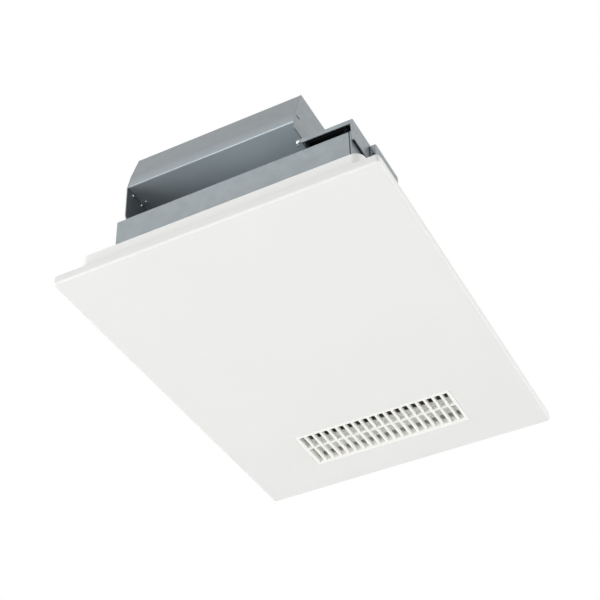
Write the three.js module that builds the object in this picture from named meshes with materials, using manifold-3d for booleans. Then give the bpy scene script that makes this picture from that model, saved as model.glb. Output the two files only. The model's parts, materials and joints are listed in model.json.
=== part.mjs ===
// Ceiling-recessed bathroom heater ventilator.
// Millimetres, +Z up into the ceiling, origin at the centre of the front panel's room face.
// +X runs across the short side, +Y along the long side, away from the recessed end.
import * as THREE from 'three';
import { mergeVertices } from 'three/addons/utils/BufferGeometryUtils.js';
import Module from 'manifold-3d';

const wasm = await Module();
wasm.setup();

// Clearances
const seatGap = 0.3;
const cutOverrun = 2;
const pinClearance = 0.35;
const windowGap = 0.6;

// Sheet metal and levels
const sheet = 1.2;
const ceilingLevel = 37;
const frameTopLevel = 103;
const deckLevel = 119.5;
const recessCeilingLevel = 149.5;
const creaseLevel = 171;
const hoodTopLevel = 210;

// Body plan
const frameHalfWidth = 141;
const bodyNear = -202;
const bodyFar = 201;
const cornerFold = 12;
const bottomFlange = 14;
const stripLeftInset = 1.5;
const stripRightInset = 2.6;
const stripStepWidth = 9.5;
const stripStepDrop = 1.2;
const slotLedgeDepth = 3.5;
const hoodLeftInset = 12;
const hoodFoldInset = 1.44;
const hoodRight = 77;
const hoodFoldReach = 0.5;
const hoodCreaseSetback = 5;
const hoodTopSetback = 19;
const hoodSideLeftReach = 0.3;
const hoodSideRightFoot = 139.5;
const hoodSideFootRound = 6;
const hoodSlotLength = 7;
const hoodSlotHeight = 3;
const hoodSlotInset = 1;
const hoodSlotLevel = 164.5;
const recessDepth = 61;

// Right-hand casing
const railLeft = 83.5;
const railHeight = 5.5;
const railTabWidth = 4;
const railTabDrop = 2.5;
const skirtReach = 3.4;
const skirtHeight = 29.5;

// Hanger brackets
const bracketLength = 59;
const bracketReach = 6.4;
const bracketHeight = 20;
const bracketRound = 5;
const bracketHoleRadius = 3;
const bracketHoleInset = 13;
const bracketHoleDrop = 11;
const bracketEndHoleRadius = 1.25;
const bracketEndHoleInset = 2.5;
const bracketEndHoleRise = 4.5;
const bracketSpread = 267;
const bracketTopInset = 2.5;

// Front panel
const panelShort = 370;
const panelLong = 489;
const panelDepth = 10;
const panelSkin = 2.5;
const panelCorner = 4;
const panelEdgeRound = 2.5;
const panelRibHeight = 5;
const panelRibWidth = 2;
const panelRibGap = 32;
const panelCrossRibs = [-112.5, 37.5];
const panelEdgeSteps = 3;
const panelCollarWall = 1.8;
const panelCollarHeight = 5;

// Outlet grille
const grilleX = 2.35;
const grilleY = 161;
const slotFieldMargin = 91.3;
const slotFieldY = 58;
const grilleBorder = 4;
const grilleFlange = 2.2;
const grilleWall = 1.6;
const grilleDepth = 8.3;
const finCount = 18;
const finThickness = 2.8;
const finDepth = 5.5;
const longRibThickness = 2;
const longRibOffset = -3.6;
const endColumnShare = 0.75;

// Panel arms
const armInset = 23;
const armNearY = -150;
const armFarY = 95;
const armThickness = 4;
const armWidth = 12;
const armFootThickness = 2.2;
const armFootMargin = 5;
const armHookReach = 4;
const armHookHeight = 3.2;
const armSlotGap = 1.2;
const panelTravel = 28;

// Panel base
const baseReach = 22;
const baseLong = 465;
const baseCorner = 12;
const baseTopRound = 1.5;
const baseEdgeSteps = 2;
const baseWall = 2.5;
const baseUnderLevel = 20;
const baseFloor = 2.5;
const intakeInset = 41;
const intakeNear = -188;
const intakeFar = 90;
const bossInset = 7.5;
const bossY = 188;
const bossRadius = 4.5;
const screwHeadRadius = 4;
const screwHeadHeight = 2.2;
const screwFaceShare = 0.7;
const screwShankRadius = 1.8;
const screwGrip = 4;
const screwHoleGap = 0.35;
const railHookWall = 2;
const railHookLip = 3;
const railHookThickness = 1.2;

// Intake filter
const filterPlay = 1.2;
const filterThickness = 4;
const filterLip = 6;
const filterFrame = 5;
const filterBar = 1.6;
const filterBarsAcross = 3;
const filterBarsAlong = 4;
const filterTabLength = 8;
const filterTabWidth = 50;

// Outlet nozzle and louvres
const nozzleSideMargin = 5;
const nozzleNear = 136;
const nozzleWall = 2;
const nozzleUnderLevel = 11.3;
const ductFloorLevel = 40;
const nozzleFlangeReach = 10;
const nozzleFlangeThickness = 2;
const nozzleFlangeInset = 12.35;
const nozzleHoleSideLeft = 10;
const nozzleHoleSideRight = 18;
const nozzleHoleEnd = 2.5;
const vaneNearPivotY = 178;
const vaneNearChord = 21;
const vaneNearDrop = 5;
const vaneFarPivotY = 190.5;
const vaneFarChord = 9.6;
const vaneFarDrop = 1.2;
const vanePivotZ = 17;
const vaneThickness = 1.6;
const vaneBarrel = 2.2;
const vanePinRadius = 1.5;
const vaneEndGap = 1.5;
const crankLength = 8;
const crankThickness = 2.2;
const crankLean = 0.57;
const crankEyeRadius = 2.6;
const crankPinRadius = 1.1;
const linkThickness = 2;
const louvreMotorRadius = 9.5;
const louvreMotorLength = 12;
const louvreMotorBore = 6;
const louvreMotorPin = 4;

// Heater and its duct
const ductOpenLeftInset = 35;
const ductOpenRightInset = 7;
const ductOpenNear = 142;
const ductOpenFar = 192;
const heaterUnderLevel = 58;
const heaterFrameHeight = 24;
const heaterFrameRim = 8;
const coreHeight = 18;
const coreBars = 4;
const coreBarWidth = 3;
const coreCells = 14;
const coreFin = 1.6;
const fuseLength = 14;
const fuseWidth = 5;
const fuseLeadRadius = 1;

// Fan
const fanX = -20;
const fanY = -50;
const rotorRadius = 70;
const rotorEyeRadius = 58;
const rotorUnderGap = 3.5;
const rotorHeight = 46;
const rotorPlate = 2;
const rotorRingWidth = 9;
const bladeCount = 28;
const bladeThickness = 1.4;
const bladeSweep = 0.16;
const bladeSteps = 3;
const hubRadius = 9;
const hubHeight = 14;
const shaftRadius = 4;
const shaftBelowHub = 10;
const shaftIntoMotor = 16;
const nutRadius = 8;
const nutHeight = 6.5;
const nutSides = 6;
const scrollStartRadius = 74;
const scrollEndRadius = 92;
const scrollWall = 1.5;
const scrollHeight = 53.5;
const scrollTongueAngle = 1.05;
const scrollOutletY = 50;
const scrollSteps = 32;
const inletHoleRadius = 60.5;
const inletThroat = 54;
const inletLipWall = 1.5;
const inletFlangeReach = 12;
const inletLipRise = 8;
const inletRound = 4;
const shaftHoleRadius = 8;
const motorRadius = 44;
const motorHeight = 36;
const motorCapStep = 5;
const motorCapHeight = 7;
const motorBossRadius = 13;
const motorBossHeight = 5;
const motorBracketRadius = 56;
const motorBracketThickness = 1.5;

// Damper, exhaust port and collar
const portX = -26;
const portDrop = 53;
const portRadius = 42;
const flapLeftInset = 29;
const flapRightInset = 5;
const flapLength = 94;
const flapThickness = 1.6;
const flapPivotY = 196;
const flapPivotRise = 3.8;
const flapBarrel = 2.6;
const flapPinRadius = 1.8;
const flapPinReach = 12;
const damperMotorWidth = 21;
const damperMotorHeight = 22;
const damperMotorDepth = 20;
const damperMotorBoreInset = 4.2;
const collarRadius = 48.5;
const collarWall = 1.5;
const collarFlange = 2;
const collarLength = 41.5;
const collarFlangeThickness = 1.5;
const seatRingOffset = 5;
const seatRingThickness = 1.5;
const seatRingRadius = 42.5;
const shutterMargin = 1.2;
const shutterThickness = 1.2;
const shutterHingeRise = 36;
const shutterOpenAngle = Math.PI / 3;
const shutterBarrel = 2.6;
const shutterPinRadius = 1.2;
const shutterBarrelInset = 5;
const shutterSteps = 14;

// Control box
const controlLeftGap = 3.5;
const controlRightInset = 4;
const controlNear = -198;
const controlFar = -62;
const controlHeight = 52;
const controlWall = 1.5;
const controlCoverThickness = 1.3;
const cableWindowInset = 5;
const cableWindowHeight = 10;
const cableWindowDrop = 4;
const boardThickness = 1.6;
const boardInset = 3;
const boardLength = 84;
const boardPostRadius = 3;
const boardPostInset = 6;
const boardDrop = 30;
const relayLength = 15;
const relayShare = 0.366;
const relayHeight = 13;
const capacitorRadius = 7;
const capacitorHeight = 12;
const plugLength = 26;
const plugWidth = 7;
const plugHeight = 9;
const terminalSetback = 9;
const terminalSideGap = 8;
const terminalDepth = 18;
const terminalHeight = 15;
const terminalCount = 5;
const terminalWallThickness = 1.4;
const terminalCut = 7;

// Small fasteners in the recess
const smallHeadRadius = 2.3;
const smallHeadHeight = 1.4;
const smallShankRadius = 1.2;
const smallShankLength = 5;
const recessScrewDrop = 3;
const recessScrewFirstInset = 11.2;
const recessScrewPitch = 17.4;
const ceilingScrewX = 5.5;
const ceilingScrewY = 28.5;
const bushingInset = 88;
const bushingDrop = 18;
const bushingRadius = 5;
const bushingFlange = 8;
const bushingFlangeThickness = 1.5;
const bushingLength = 10;
const bushingBore = 3.2;

// Roundness and mesh fineness
const meshTolerance = 0.01;
const roundSegments = 32;
const smallSegments = 12;
const cornerSegments = 5;

// Levels and places that follow from the sizes above
const stripLeft = stripLeftInset - frameHalfWidth;
const stripRight = frameHalfWidth - stripRightInset;
const hoodLeft = hoodLeftInset - frameHalfWidth;
const ductOpenLeft = hoodLeft + ductOpenLeftInset;
const ductOpenRight = hoodRight - ductOpenRightInset;
const flapLeft = hoodLeft + flapLeftInset;
const flapRight = hoodRight - flapRightInset;
const slotFieldX = 2 * frameHalfWidth - slotFieldMargin;
const armX = frameHalfWidth - armInset;
const bossX = frameHalfWidth - bossInset;
const baseShort = 2 * (frameHalfWidth + baseReach);
const intakeHalfWidth = frameHalfWidth - intakeInset;
const controlLeft = railLeft + controlLeftGap;
const controlRight = frameHalfWidth - controlRightInset;
const baseFloorTop = baseUnderLevel + baseFloor;
const midPlateUnder = frameTopLevel + seatGap;
const midPlateTop = midPlateUnder + sheet;
const chamberFloor = midPlateTop + seatGap;
const recessBackY = bodyNear + recessDepth;
const frontOfMidPlate = recessBackY + sheet + seatGap;
const hoodNear = bodyNear - hoodFoldReach;
const hoodInsideLeft = hoodLeft + seatGap;
const hoodInsideRight = hoodRight - seatGap;
const hoodInsideTop = hoodTopLevel - sheet;
const nozzleLeft = grilleX - slotFieldX / 2 - nozzleSideMargin - nozzleWall;
const nozzleRight = grilleX + slotFieldX / 2 + nozzleSideMargin + nozzleWall;
const nozzleFar = bodyFar - sheet - pinClearance;
const nozzleTop = ductFloorLevel - seatGap;
const flapPivotZ = midPlateTop + flapPivotRise;
const portZ = hoodTopLevel - portDrop;
const scrollTop = chamberFloor + scrollHeight;
const scrollCoverTop = scrollTop + seatGap + sheet;
const motorBracketUnder = scrollCoverTop + seatGap;
const motorUnder = motorBracketUnder + motorBracketThickness + seatGap;
const rotorUnder = midPlateTop + rotorUnderGap;
const rotorTop = rotorUnder + rotorHeight;
const skirtX = frameHalfWidth + skirtReach;
const filterTop = baseUnderLevel - filterPlay;
const filterUnder = filterTop - filterThickness;
const filterHalfWidth = intakeHalfWidth + filterLip;

// Materials
function finish(color, roughness, metalness) {
  return new THREE.MeshStandardMaterial({ color, roughness, metalness });
}
const finishes = {
  whitePanel: () => finish(0xf1f1ee, 0.45, 0),
  whiteGrille: () => finish(0xfafaf8, 0.4, 0),
  galvanised: () => finish(0xa0a6a8, 0.42, 0.9),
  brightSteel: () => finish(0xc9cccc, 0.3, 1),
  greyPlastic: () => finish(0x6c7074, 0.6, 0),
  darkPlastic: () => finish(0x2b2d2f, 0.55, 0),
  circuitGreen: () => finish(0x1f5a38, 0.5, 0),
  heaterMetal: () => finish(0xb4b6b4, 0.5, 0.8),
  rubber: () => finish(0x1c1c1c, 0.85, 0),
  filterMesh: () => finish(0xb9c2c8, 0.7, 0),
};

// Solids
function solidOf(geometry) {
  const bare = geometry.clone();
  bare.deleteAttribute('normal');
  bare.deleteAttribute('uv');
  const merged = mergeVertices(bare, 1e-4);
  const vertProperties = new Float32Array(merged.attributes.position.array);
  const triVerts = new Uint32Array(merged.index.array);
  return new wasm.Manifold(new wasm.Mesh({ numProp: 3, vertProperties, triVerts }));
}

function geometryOf(solid) {
  const mesh = tidied(solid).getMesh();
  const geometry = new THREE.BufferGeometry();
  geometry.setAttribute('position', new THREE.BufferAttribute(mesh.vertProperties, 3));
  geometry.setIndex(new THREE.BufferAttribute(mesh.triVerts, 1));
  geometry.computeVertexNormals();
  return geometry;
}

function join(first, ...others) {
  return others.reduce((sum, next) => sum.add(next), first);
}

function cut(body, ...tools) {
  return tools.reduce((rest, tool) => rest.subtract(tool), body);
}

// Drops the needless vertices that joins and cuts leave along straight edges and in flat faces
function tidied(solid) {
  return solid.asOriginal().simplify(meshTolerance);
}

// A box between two values along each axis
function block([x0, x1], [y0, y1], [z0, z1]) {
  const geometry = new THREE.BoxGeometry(x1 - x0, y1 - y0, z1 - z0);
  geometry.translate((x0 + x1) / 2, (y0 + y1) / 2, (z0 + z1) / 2);
  return solidOf(geometry);
}

// A flat shape in X and Y, given depth from one level to another
function plate(shape, z0, z1, bevel = {}) {
  const settings = { depth: z1 - z0, bevelEnabled: false, curveSegments: cornerSegments, ...bevel };
  const geometry = new THREE.ExtrudeGeometry(shape, settings);
  geometry.translate(0, 0, z0);
  return solidOf(geometry);
}

// A profile in Y and Z, run along X
function profileAlongX(shape, x0, x1) {
  const geometry = new THREE.ExtrudeGeometry(shape, {
    depth: x1 - x0, bevelEnabled: false, curveSegments: cornerSegments,
  });
  const basis = new THREE.Matrix4().makeBasis(
    new THREE.Vector3(0, 1, 0), new THREE.Vector3(0, 0, 1), new THREE.Vector3(1, 0, 0));
  geometry.applyMatrix4(basis);
  geometry.translate(x0, 0, 0);
  return solidOf(geometry);
}

// A round bar along one axis; centre gives the other two coordinates in axis order
function rod(axis, radius, from, to, [u, v], segments = smallSegments) {
  const geometry = new THREE.CylinderGeometry(radius, radius, to - from, segments);
  const middle = (from + to) / 2;
  if (axis === 'x') {
    geometry.rotateZ(Math.PI / 2);
    geometry.translate(middle, u, v);
  } else if (axis === 'y') {
    geometry.translate(u, middle, v);
  } else {
    geometry.rotateX(Math.PI / 2);
    geometry.translate(u, v, middle);
  }
  return solidOf(geometry);
}

// A turned body about Z, from a closed list of radius and height pairs
function turned(pairs, segments = roundSegments) {
  const points = pairs.map(([radius, height]) => new THREE.Vector2(radius, height));
  points.push(points[0].clone());
  const geometry = new THREE.LatheGeometry(points, segments);
  geometry.rotateX(Math.PI / 2);
  return solidOf(flippedIfInward(geometry));
}

function signedVolume(geometry) {
  const place = geometry.attributes.position;
  const order = geometry.index;
  const [a, b, c] = [new THREE.Vector3(), new THREE.Vector3(), new THREE.Vector3()];
  let sum = 0;
  for (let i = 0; i < order.count; i += 3) {
    a.fromBufferAttribute(place, order.getX(i));
    b.fromBufferAttribute(place, order.getX(i + 1));
    c.fromBufferAttribute(place, order.getX(i + 2));
    sum += a.dot(b.cross(c));
  }
  return sum;
}

function flippedIfInward(geometry) {
  if (signedVolume(geometry) >= 0) return geometry;
  const order = geometry.index.array;
  for (let i = 0; i < order.length; i += 3) {
    [order[i], order[i + 1]] = [order[i + 1], order[i]];
  }
  return geometry;
}

function shapeOf(points) {
  return new THREE.Shape(points.map(([x, y]) => new THREE.Vector2(x, y)));
}

function roundedRectangle(width, length, radius) {
  const [x, y] = [width / 2 - radius, length / 2 - radius];
  const shape = new THREE.Shape();
  shape.absarc(x, -y, radius, -Math.PI / 2, 0);
  shape.absarc(x, y, radius, 0, Math.PI / 2);
  shape.absarc(-x, y, radius, Math.PI / 2, Math.PI);
  shape.absarc(-x, -y, radius, Math.PI, Math.PI * 1.5);
  shape.closePath();
  return shape;
}

function piece(name, solid, material, place = [0, 0, 0]) {
  const mesh = new THREE.Mesh(geometryOf(solid), material());
  mesh.name = name;
  mesh.position.set(...place);
  return mesh;
}

function groupAt(place, ...members) {
  const group = new THREE.Group();
  group.position.set(...place);
  group.add(...members);
  return group;
}

// Front panel: a shallow tray with a rounded lower edge, back ribs and the outlet window
function frontPanel() {
  const rim = roundedRectangle(panelShort, panelLong, panelCorner);
  const bevel = {
    bevelEnabled: true, bevelThickness: panelEdgeRound, bevelSize: panelEdgeRound,
    bevelOffset: -panelEdgeRound, bevelSegments: panelEdgeSteps,
  };
  const halfX = panelShort / 2;
  const halfY = panelLong / 2;
  const rounded = plate(rim, panelEdgeRound, panelDepth + panelEdgeRound, bevel);
  const above = block([-halfX - cutOverrun, halfX + cutOverrun], [-halfY - cutOverrun, halfY + cutOverrun],
    [panelDepth, panelDepth + panelEdgeRound * 2 + cutOverrun]);
  const innerX = halfX - panelEdgeRound;
  const innerY = halfY - panelEdgeRound;
  const hollow = block([-innerX, innerX], [-innerY, innerY], [panelSkin, panelDepth + cutOverrun]);
  const ribTop = panelSkin + panelRibHeight;
  const ribs = [];
  for (const place of panelCrossRibs) {
    ribs.push(block([-innerX - panelEdgeRound / 2, innerX + panelEdgeRound / 2],
      [place - panelRibWidth / 2, place + panelRibWidth / 2], [panelSkin / 2, ribTop]));
  }
  for (const side of [-1, 1]) {
    const place = side * (armX + panelRibGap);
    ribs.push(block([place - panelRibWidth / 2, place + panelRibWidth / 2],
      [-innerY - panelEdgeRound / 2, innerY + panelEdgeRound / 2], [panelSkin / 2, ribTop]));
  }
  const windowX = slotFieldX / 2 + grilleBorder + windowGap;
  const windowY = slotFieldY / 2 + grilleBorder + windowGap;
  const collar = block([grilleX - windowX - panelCollarWall, grilleX + windowX + panelCollarWall],
    [grilleY - windowY - panelCollarWall, grilleY + windowY + panelCollarWall],
    [panelSkin / 2, panelSkin + panelCollarHeight]);
  const window = block([grilleX - windowX, grilleX + windowX], [grilleY - windowY, grilleY + windowY],
    [-cutOverrun, panelDepth + cutOverrun]);
  return cut(join(cut(rounded, above, hollow), collar, ...ribs), window);
}

// Outlet grille: border, upright fins and one long rib
function outletGrille() {
  const [halfX, halfY] = [slotFieldX / 2, slotFieldY / 2];
  const border = block([-halfX - grilleBorder, halfX + grilleBorder],
    [-halfY - grilleBorder, halfY + grilleBorder], [0, grilleFlange]);
  const wall = block([-halfX - grilleWall, halfX + grilleWall],
    [-halfY - grilleWall, halfY + grilleWall], [0, grilleDepth]);
  const field = block([-halfX, halfX], [-halfY, halfY], [-cutOverrun, grilleDepth + cutOverrun]);
  const bars = [];
  const columnPitch = slotFieldX / (finCount - 1 + 2 * endColumnShare);
  const reach = grilleWall / 2;
  for (let i = 0; i < finCount; i++) {
    const x = (i - (finCount - 1) / 2) * columnPitch;
    bars.push(block([x - finThickness / 2, x + finThickness / 2], [-halfY - reach, halfY + reach],
      [0, finDepth]));
  }
  bars.push(block([-halfX - reach, halfX + reach],
    [longRibOffset - longRibThickness / 2, longRibOffset + longRibThickness / 2], [0, finDepth]));
  return join(cut(join(border, wall), field), ...bars);
}

// Guide arm: foot on the panel's back, stem through the base, hook above it
function panelArm() {
  const foot = block([-armThickness / 2 - armFootMargin, armThickness / 2 + armFootMargin],
    [-armWidth / 2 - armFootMargin, armWidth / 2 + armFootMargin], [0, armFootThickness]);
  const hookUnder = baseFloorTop + seatGap + panelTravel - panelSkin - seatGap;
  const hookTop = hookUnder + armHookHeight;
  const stem = block([-armThickness / 2, armThickness / 2], [-armWidth / 2, armWidth / 2],
    [armFootThickness / 2, hookTop]);
  const hook = block([0, armThickness / 2 + armHookReach], [-armWidth / 2, armWidth / 2],
    [hookUnder, hookTop]);
  return join(foot, stem, hook);
}

// Hooks under the base that the filter slides in, open at the near end
function filterRails() {
  const lipTop = filterUnder - seatGap;
  const lipUnder = lipTop - railHookThickness;
  const wallStart = filterHalfWidth + seatGap;
  const reach = [intakeNear - filterLip, intakeFar + filterLip + seatGap];
  const rails = [];
  for (const side of [-1, 1]) {
    const wall = [side * wallStart, side * (wallStart + railHookWall)].sort((a, b) => a - b);
    const lip = [side * (wallStart - railHookLip), side * (wallStart + railHookWall)].sort((a, b) => a - b);
    rails.push(block(wall, reach, [lipUnder, baseUnderLevel + baseFloor / 2]));
    rails.push(block(lip, reach, [lipUnder, lipTop]));
  }
  const stop = block([-filterHalfWidth / 2, filterHalfWidth / 2],
    [intakeFar + filterLip + seatGap, intakeFar + filterLip + seatGap + railHookWall],
    [lipUnder, baseUnderLevel + baseFloor / 2]);
  return join(...rails, stop);
}

// Panel base: white frame between the front panel and the ceiling
function panelBase() {
  const bevel = {
    bevelEnabled: true, bevelThickness: baseTopRound, bevelSize: baseTopRound,
    bevelOffset: -baseTopRound, bevelSegments: baseEdgeSteps,
  };
  const outer = plate(roundedRectangle(baseShort, baseLong, baseCorner),
    baseUnderLevel + baseTopRound, ceilingLevel - baseTopRound, bevel);
  const hollow = plate(roundedRectangle(baseShort - 2 * baseWall, baseLong - 2 * baseWall,
    baseCorner - baseWall), baseFloorTop, ceilingLevel + cutOverrun);
  const through = [baseUnderLevel - cutOverrun, baseFloorTop + cutOverrun];
  const intake = block([-intakeHalfWidth, intakeHalfWidth], [intakeNear, intakeFar], through);
  const outlet = block([nozzleLeft - nozzleHoleSideLeft, nozzleRight + nozzleHoleSideRight],
    [nozzleNear - nozzleHoleEnd, nozzleFar + nozzleHoleEnd], through);
  const bosses = [];
  const cuts = [intake, outlet];
  for (const sx of [-1, 1]) {
    for (const y of [armNearY, armFarY]) {
      const x = sx * armX;
      cuts.push(block([x - armThickness / 2 - armSlotGap, x + armThickness / 2 + armSlotGap],
        [y - armWidth / 2 - armSlotGap, y + armWidth / 2 + armSlotGap], through));
    }
    for (const sy of [-1, 1]) {
      const centre = [sx * bossX, sy * bossY];
      bosses.push(rod('z', bossRadius, baseUnderLevel + baseFloor / 2, ceilingLevel - seatGap, centre));
      cuts.push(rod('z', screwShankRadius + screwHoleGap, baseUnderLevel - cutOverrun,
        ceilingLevel + cutOverrun, centre));
    }
  }
  return cut(join(cut(outer, hollow), filterRails(), ...bosses), ...cuts);
}

// Screw with a flat round head; head below, shank up
function screw(headRadius, headHeight, shankRadius, shankLength) {
  const top = headHeight + shankLength;
  return turned([[0, 0], [headRadius * screwFaceShare, 0], [headRadius, headHeight / 2],
    [headRadius, headHeight], [shankRadius, headHeight], [shankRadius, top], [0, top]], smallSegments);
}

// Intake filter: flat frame with bars and a finger tab at the near end
function intakeFilter() {
  const near = intakeNear - filterLip;
  const far = intakeFar + filterLip;
  const z = [0, filterThickness];
  const frame = block([-filterHalfWidth, filterHalfWidth], [near, far], z);
  const opening = block([-filterHalfWidth + filterFrame, filterHalfWidth - filterFrame],
    [near + filterFrame, far - filterFrame], [-cutOverrun, filterThickness + cutOverrun]);
  const bars = [];
  for (let i = 1; i <= filterBarsAcross; i++) {
    const x = -filterHalfWidth + (2 * filterHalfWidth * i) / (filterBarsAcross + 1);
    bars.push(block([x - filterBar / 2, x + filterBar / 2],
      [near + filterFrame / 2, far - filterFrame / 2], z));
  }
  for (let i = 1; i <= filterBarsAlong; i++) {
    const y = near + ((far - near) * i) / (filterBarsAlong + 1);
    bars.push(block([-filterHalfWidth + filterFrame / 2, filterHalfWidth - filterFrame / 2],
      [y - filterBar / 2, y + filterBar / 2], z));
  }
  const tab = block([-filterTabWidth / 2, filterTabWidth / 2],
    [near - filterTabLength, near + filterFrame / 2], [0, filterThickness / 2]);
  return join(cut(frame, opening), tab, ...bars);
}

// Outlet nozzle: white throat between the heater duct and the grille, with louvre bearings
function outletNozzle() {
  const shell = block([nozzleLeft, nozzleRight], [nozzleNear, nozzleFar], [nozzleUnderLevel, nozzleTop]);
  const flangeZ = [baseFloorTop + seatGap, baseFloorTop + seatGap + nozzleFlangeThickness];
  const flangeX = [nozzleLeft + nozzleFlangeInset, nozzleRight - nozzleFlangeInset];
  const nearFlange = block(flangeX, [nozzleNear - nozzleFlangeReach, nozzleNear + nozzleWall / 2], flangeZ);
  const farFlange = block(flangeX, [nozzleFar - nozzleWall / 2, nozzleFar + nozzleFlangeReach], flangeZ);
  const throat = block([nozzleLeft + nozzleWall, nozzleRight - nozzleWall],
    [nozzleNear + nozzleWall, nozzleFar - nozzleWall],
    [nozzleUnderLevel - cutOverrun, nozzleTop + cutOverrun]);
  const bores = [vaneNearPivotY, vaneFarPivotY].map((y) => rod('x', vanePinRadius + pinClearance,
    nozzleLeft - cutOverrun, nozzleRight + cutOverrun, [y, vanePivotZ]));
  return cut(join(shell, nearFlange, farFlange), throat, ...bores);
}

// Louvre vane about its own pivot line: blade, barrel, end pins and the crank at the left
function louvreVane(chord, drop, rightPin) {
  const left = nozzleLeft + nozzleWall + vaneEndGap;
  const right = nozzleRight - nozzleWall - vaneEndGap;
  const blade = profileAlongX(shapeOf([[-chord, -drop], [0, -vaneThickness / 2], [0, vaneThickness / 2],
    [-chord, vaneThickness - drop]]), left, right);
  const barrel = rod('x', vaneBarrel, left, right, [0, 0]);
  const crankInside = nozzleLeft - seatGap;
  const pin = rod('x', vanePinRadius, crankInside - crankThickness / 2, right + rightPin, [0, 0]);
  const eyeY = -crankLength * Math.sin(crankLean);
  const eyeZ = crankLength * Math.cos(crankLean);
  const crankX = [crankInside - crankThickness, crankInside];
  const arm = profileAlongX(crankOutline([0, 0], [eyeY, eyeZ]), ...crankX);
  const eyePin = rod('x', crankPinRadius, crankX[0] - linkThickness - 2 * seatGap, crankInside - seatGap,
    [eyeY, eyeZ]);
  return join(blade, barrel, pin, arm, eyePin);
}

// A bar with round ends between two points
function crankOutline([ay, az], [by, bz]) {
  const angle = Math.atan2(bz - az, by - ay);
  const shape = new THREE.Shape();
  shape.absarc(ay, az, crankEyeRadius, angle + Math.PI / 2, angle + Math.PI * 1.5);
  shape.absarc(by, bz, crankEyeRadius, angle - Math.PI / 2, angle + Math.PI / 2);
  shape.closePath();
  return shape;
}

// Link between the two crank pins, about the near vane's crank pin
function louvreLink() {
  const span = vaneFarPivotY - vaneNearPivotY;
  const bar = profileAlongX(crankOutline([0, 0], [span, 0]), 0, linkThickness);
  const bores = [0, span].map((y) => rod('x', crankPinRadius + pinClearance, -cutOverrun,
    linkThickness + cutOverrun, [y, 0]));
  return cut(bar, ...bores);
}

// Small geared motor at the right end of the near vane
function louvreMotor() {
  const can = rod('x', louvreMotorRadius, 0, louvreMotorLength, [0, 0], roundSegments);
  const bore = rod('x', vanePinRadius + pinClearance, -cutOverrun, louvreMotorBore, [0, 0]);
  return cut(can, bore);
}

// Near end plate: the flat strip over the base, with the recess floor folded back from its top
function nearEndPlate() {
  const face = block([stripLeft, stripRight], [bodyNear, bodyNear + sheet], [ceilingLevel, frameTopLevel]);
  const foot = block([stripLeft + bottomFlange, stripRight - bottomFlange],
    [bodyNear, bodyNear + bottomFlange], [ceilingLevel, ceilingLevel + sheet]);
  const floorZ = [frameTopLevel - sheet, frameTopLevel];
  const floorBack = recessBackY + sheet;
  const floorRight = railLeft - seatGap;
  const floor = block([stripLeft + stripStepWidth, floorRight], [bodyNear, floorBack], floorZ);
  const ledge = block([floorRight - sheet, stripRight], [bodyNear, bodyNear + slotLedgeDepth], floorZ);
  const step = block([stripLeft - cutOverrun, stripLeft + stripStepWidth], [bodyNear - cutOverrun,
    bodyNear + sheet + cutOverrun], [frameTopLevel - stripStepDrop, frameTopLevel + cutOverrun]);
  return join(cut(face, step), foot, floor, ledge);
}

// Frame side: wall, bottom flange and folds behind the end plates; side is -1 or 1
function frameSide(side) {
  const span = (a, b) => [side * a, side * b].sort((p, q) => p - q);
  const wallX = span(frameHalfWidth - sheet, frameHalfWidth);
  const foldX = span(frameHalfWidth - cornerFold, frameHalfWidth);
  const nearFold = bodyNear + sheet + seatGap;
  const farFold = bodyFar - sheet - seatGap;
  const nearEdge = side > 0 ? bodyNear : nearFold;
  const z = [ceilingLevel, frameTopLevel];
  const wall = block(wallX, [nearEdge, farFold], z);
  const foot = block(span(frameHalfWidth - bottomFlange, frameHalfWidth),
    [bodyNear + bottomFlange + seatGap, farFold], [ceilingLevel, ceilingLevel + sheet]);
  const foldZ = [ceilingLevel, frameTopLevel - sheet - seatGap];
  const near = block(foldX, [nearFold, nearFold + sheet], foldZ);
  const far = block(foldX, [farFold - sheet, farFold], foldZ);
  const holes = [-1, 1].map((end) => rod('z', screwShankRadius + screwHoleGap, ceilingLevel - cutOverrun,
    ceilingLevel + sheet + cutOverrun, [side * bossX, end * bossY]));
  return cut(join(wall, foot, near, far), ...holes);
}

function frameEndFar() {
  const halfX = frameHalfWidth - sheet - seatGap;
  return block([-halfX, halfX], [bodyFar - sheet, bodyFar], [ceilingLevel, frameTopLevel]);
}

// Middle plate: floor under the fan and the air chamber
function midPlate() {
  const left = -frameHalfWidth + seatGap;
  const slab = block([left, hoodInsideRight], [frontOfMidPlate, bodyFar], [midPlateUnder, midPlateTop]);
  const inlet = rod('z', inletHoleRadius, midPlateUnder - cutOverrun, midPlateTop + cutOverrun,
    [fanX, fanY], roundSegments);
  const outlet = block([ductOpenLeft, ductOpenRight], [ductOpenNear, ductOpenFar],
    [midPlateUnder - cutOverrun, midPlateTop + cutOverrun]);
  return cut(slab, inlet, outlet);
}

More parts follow.
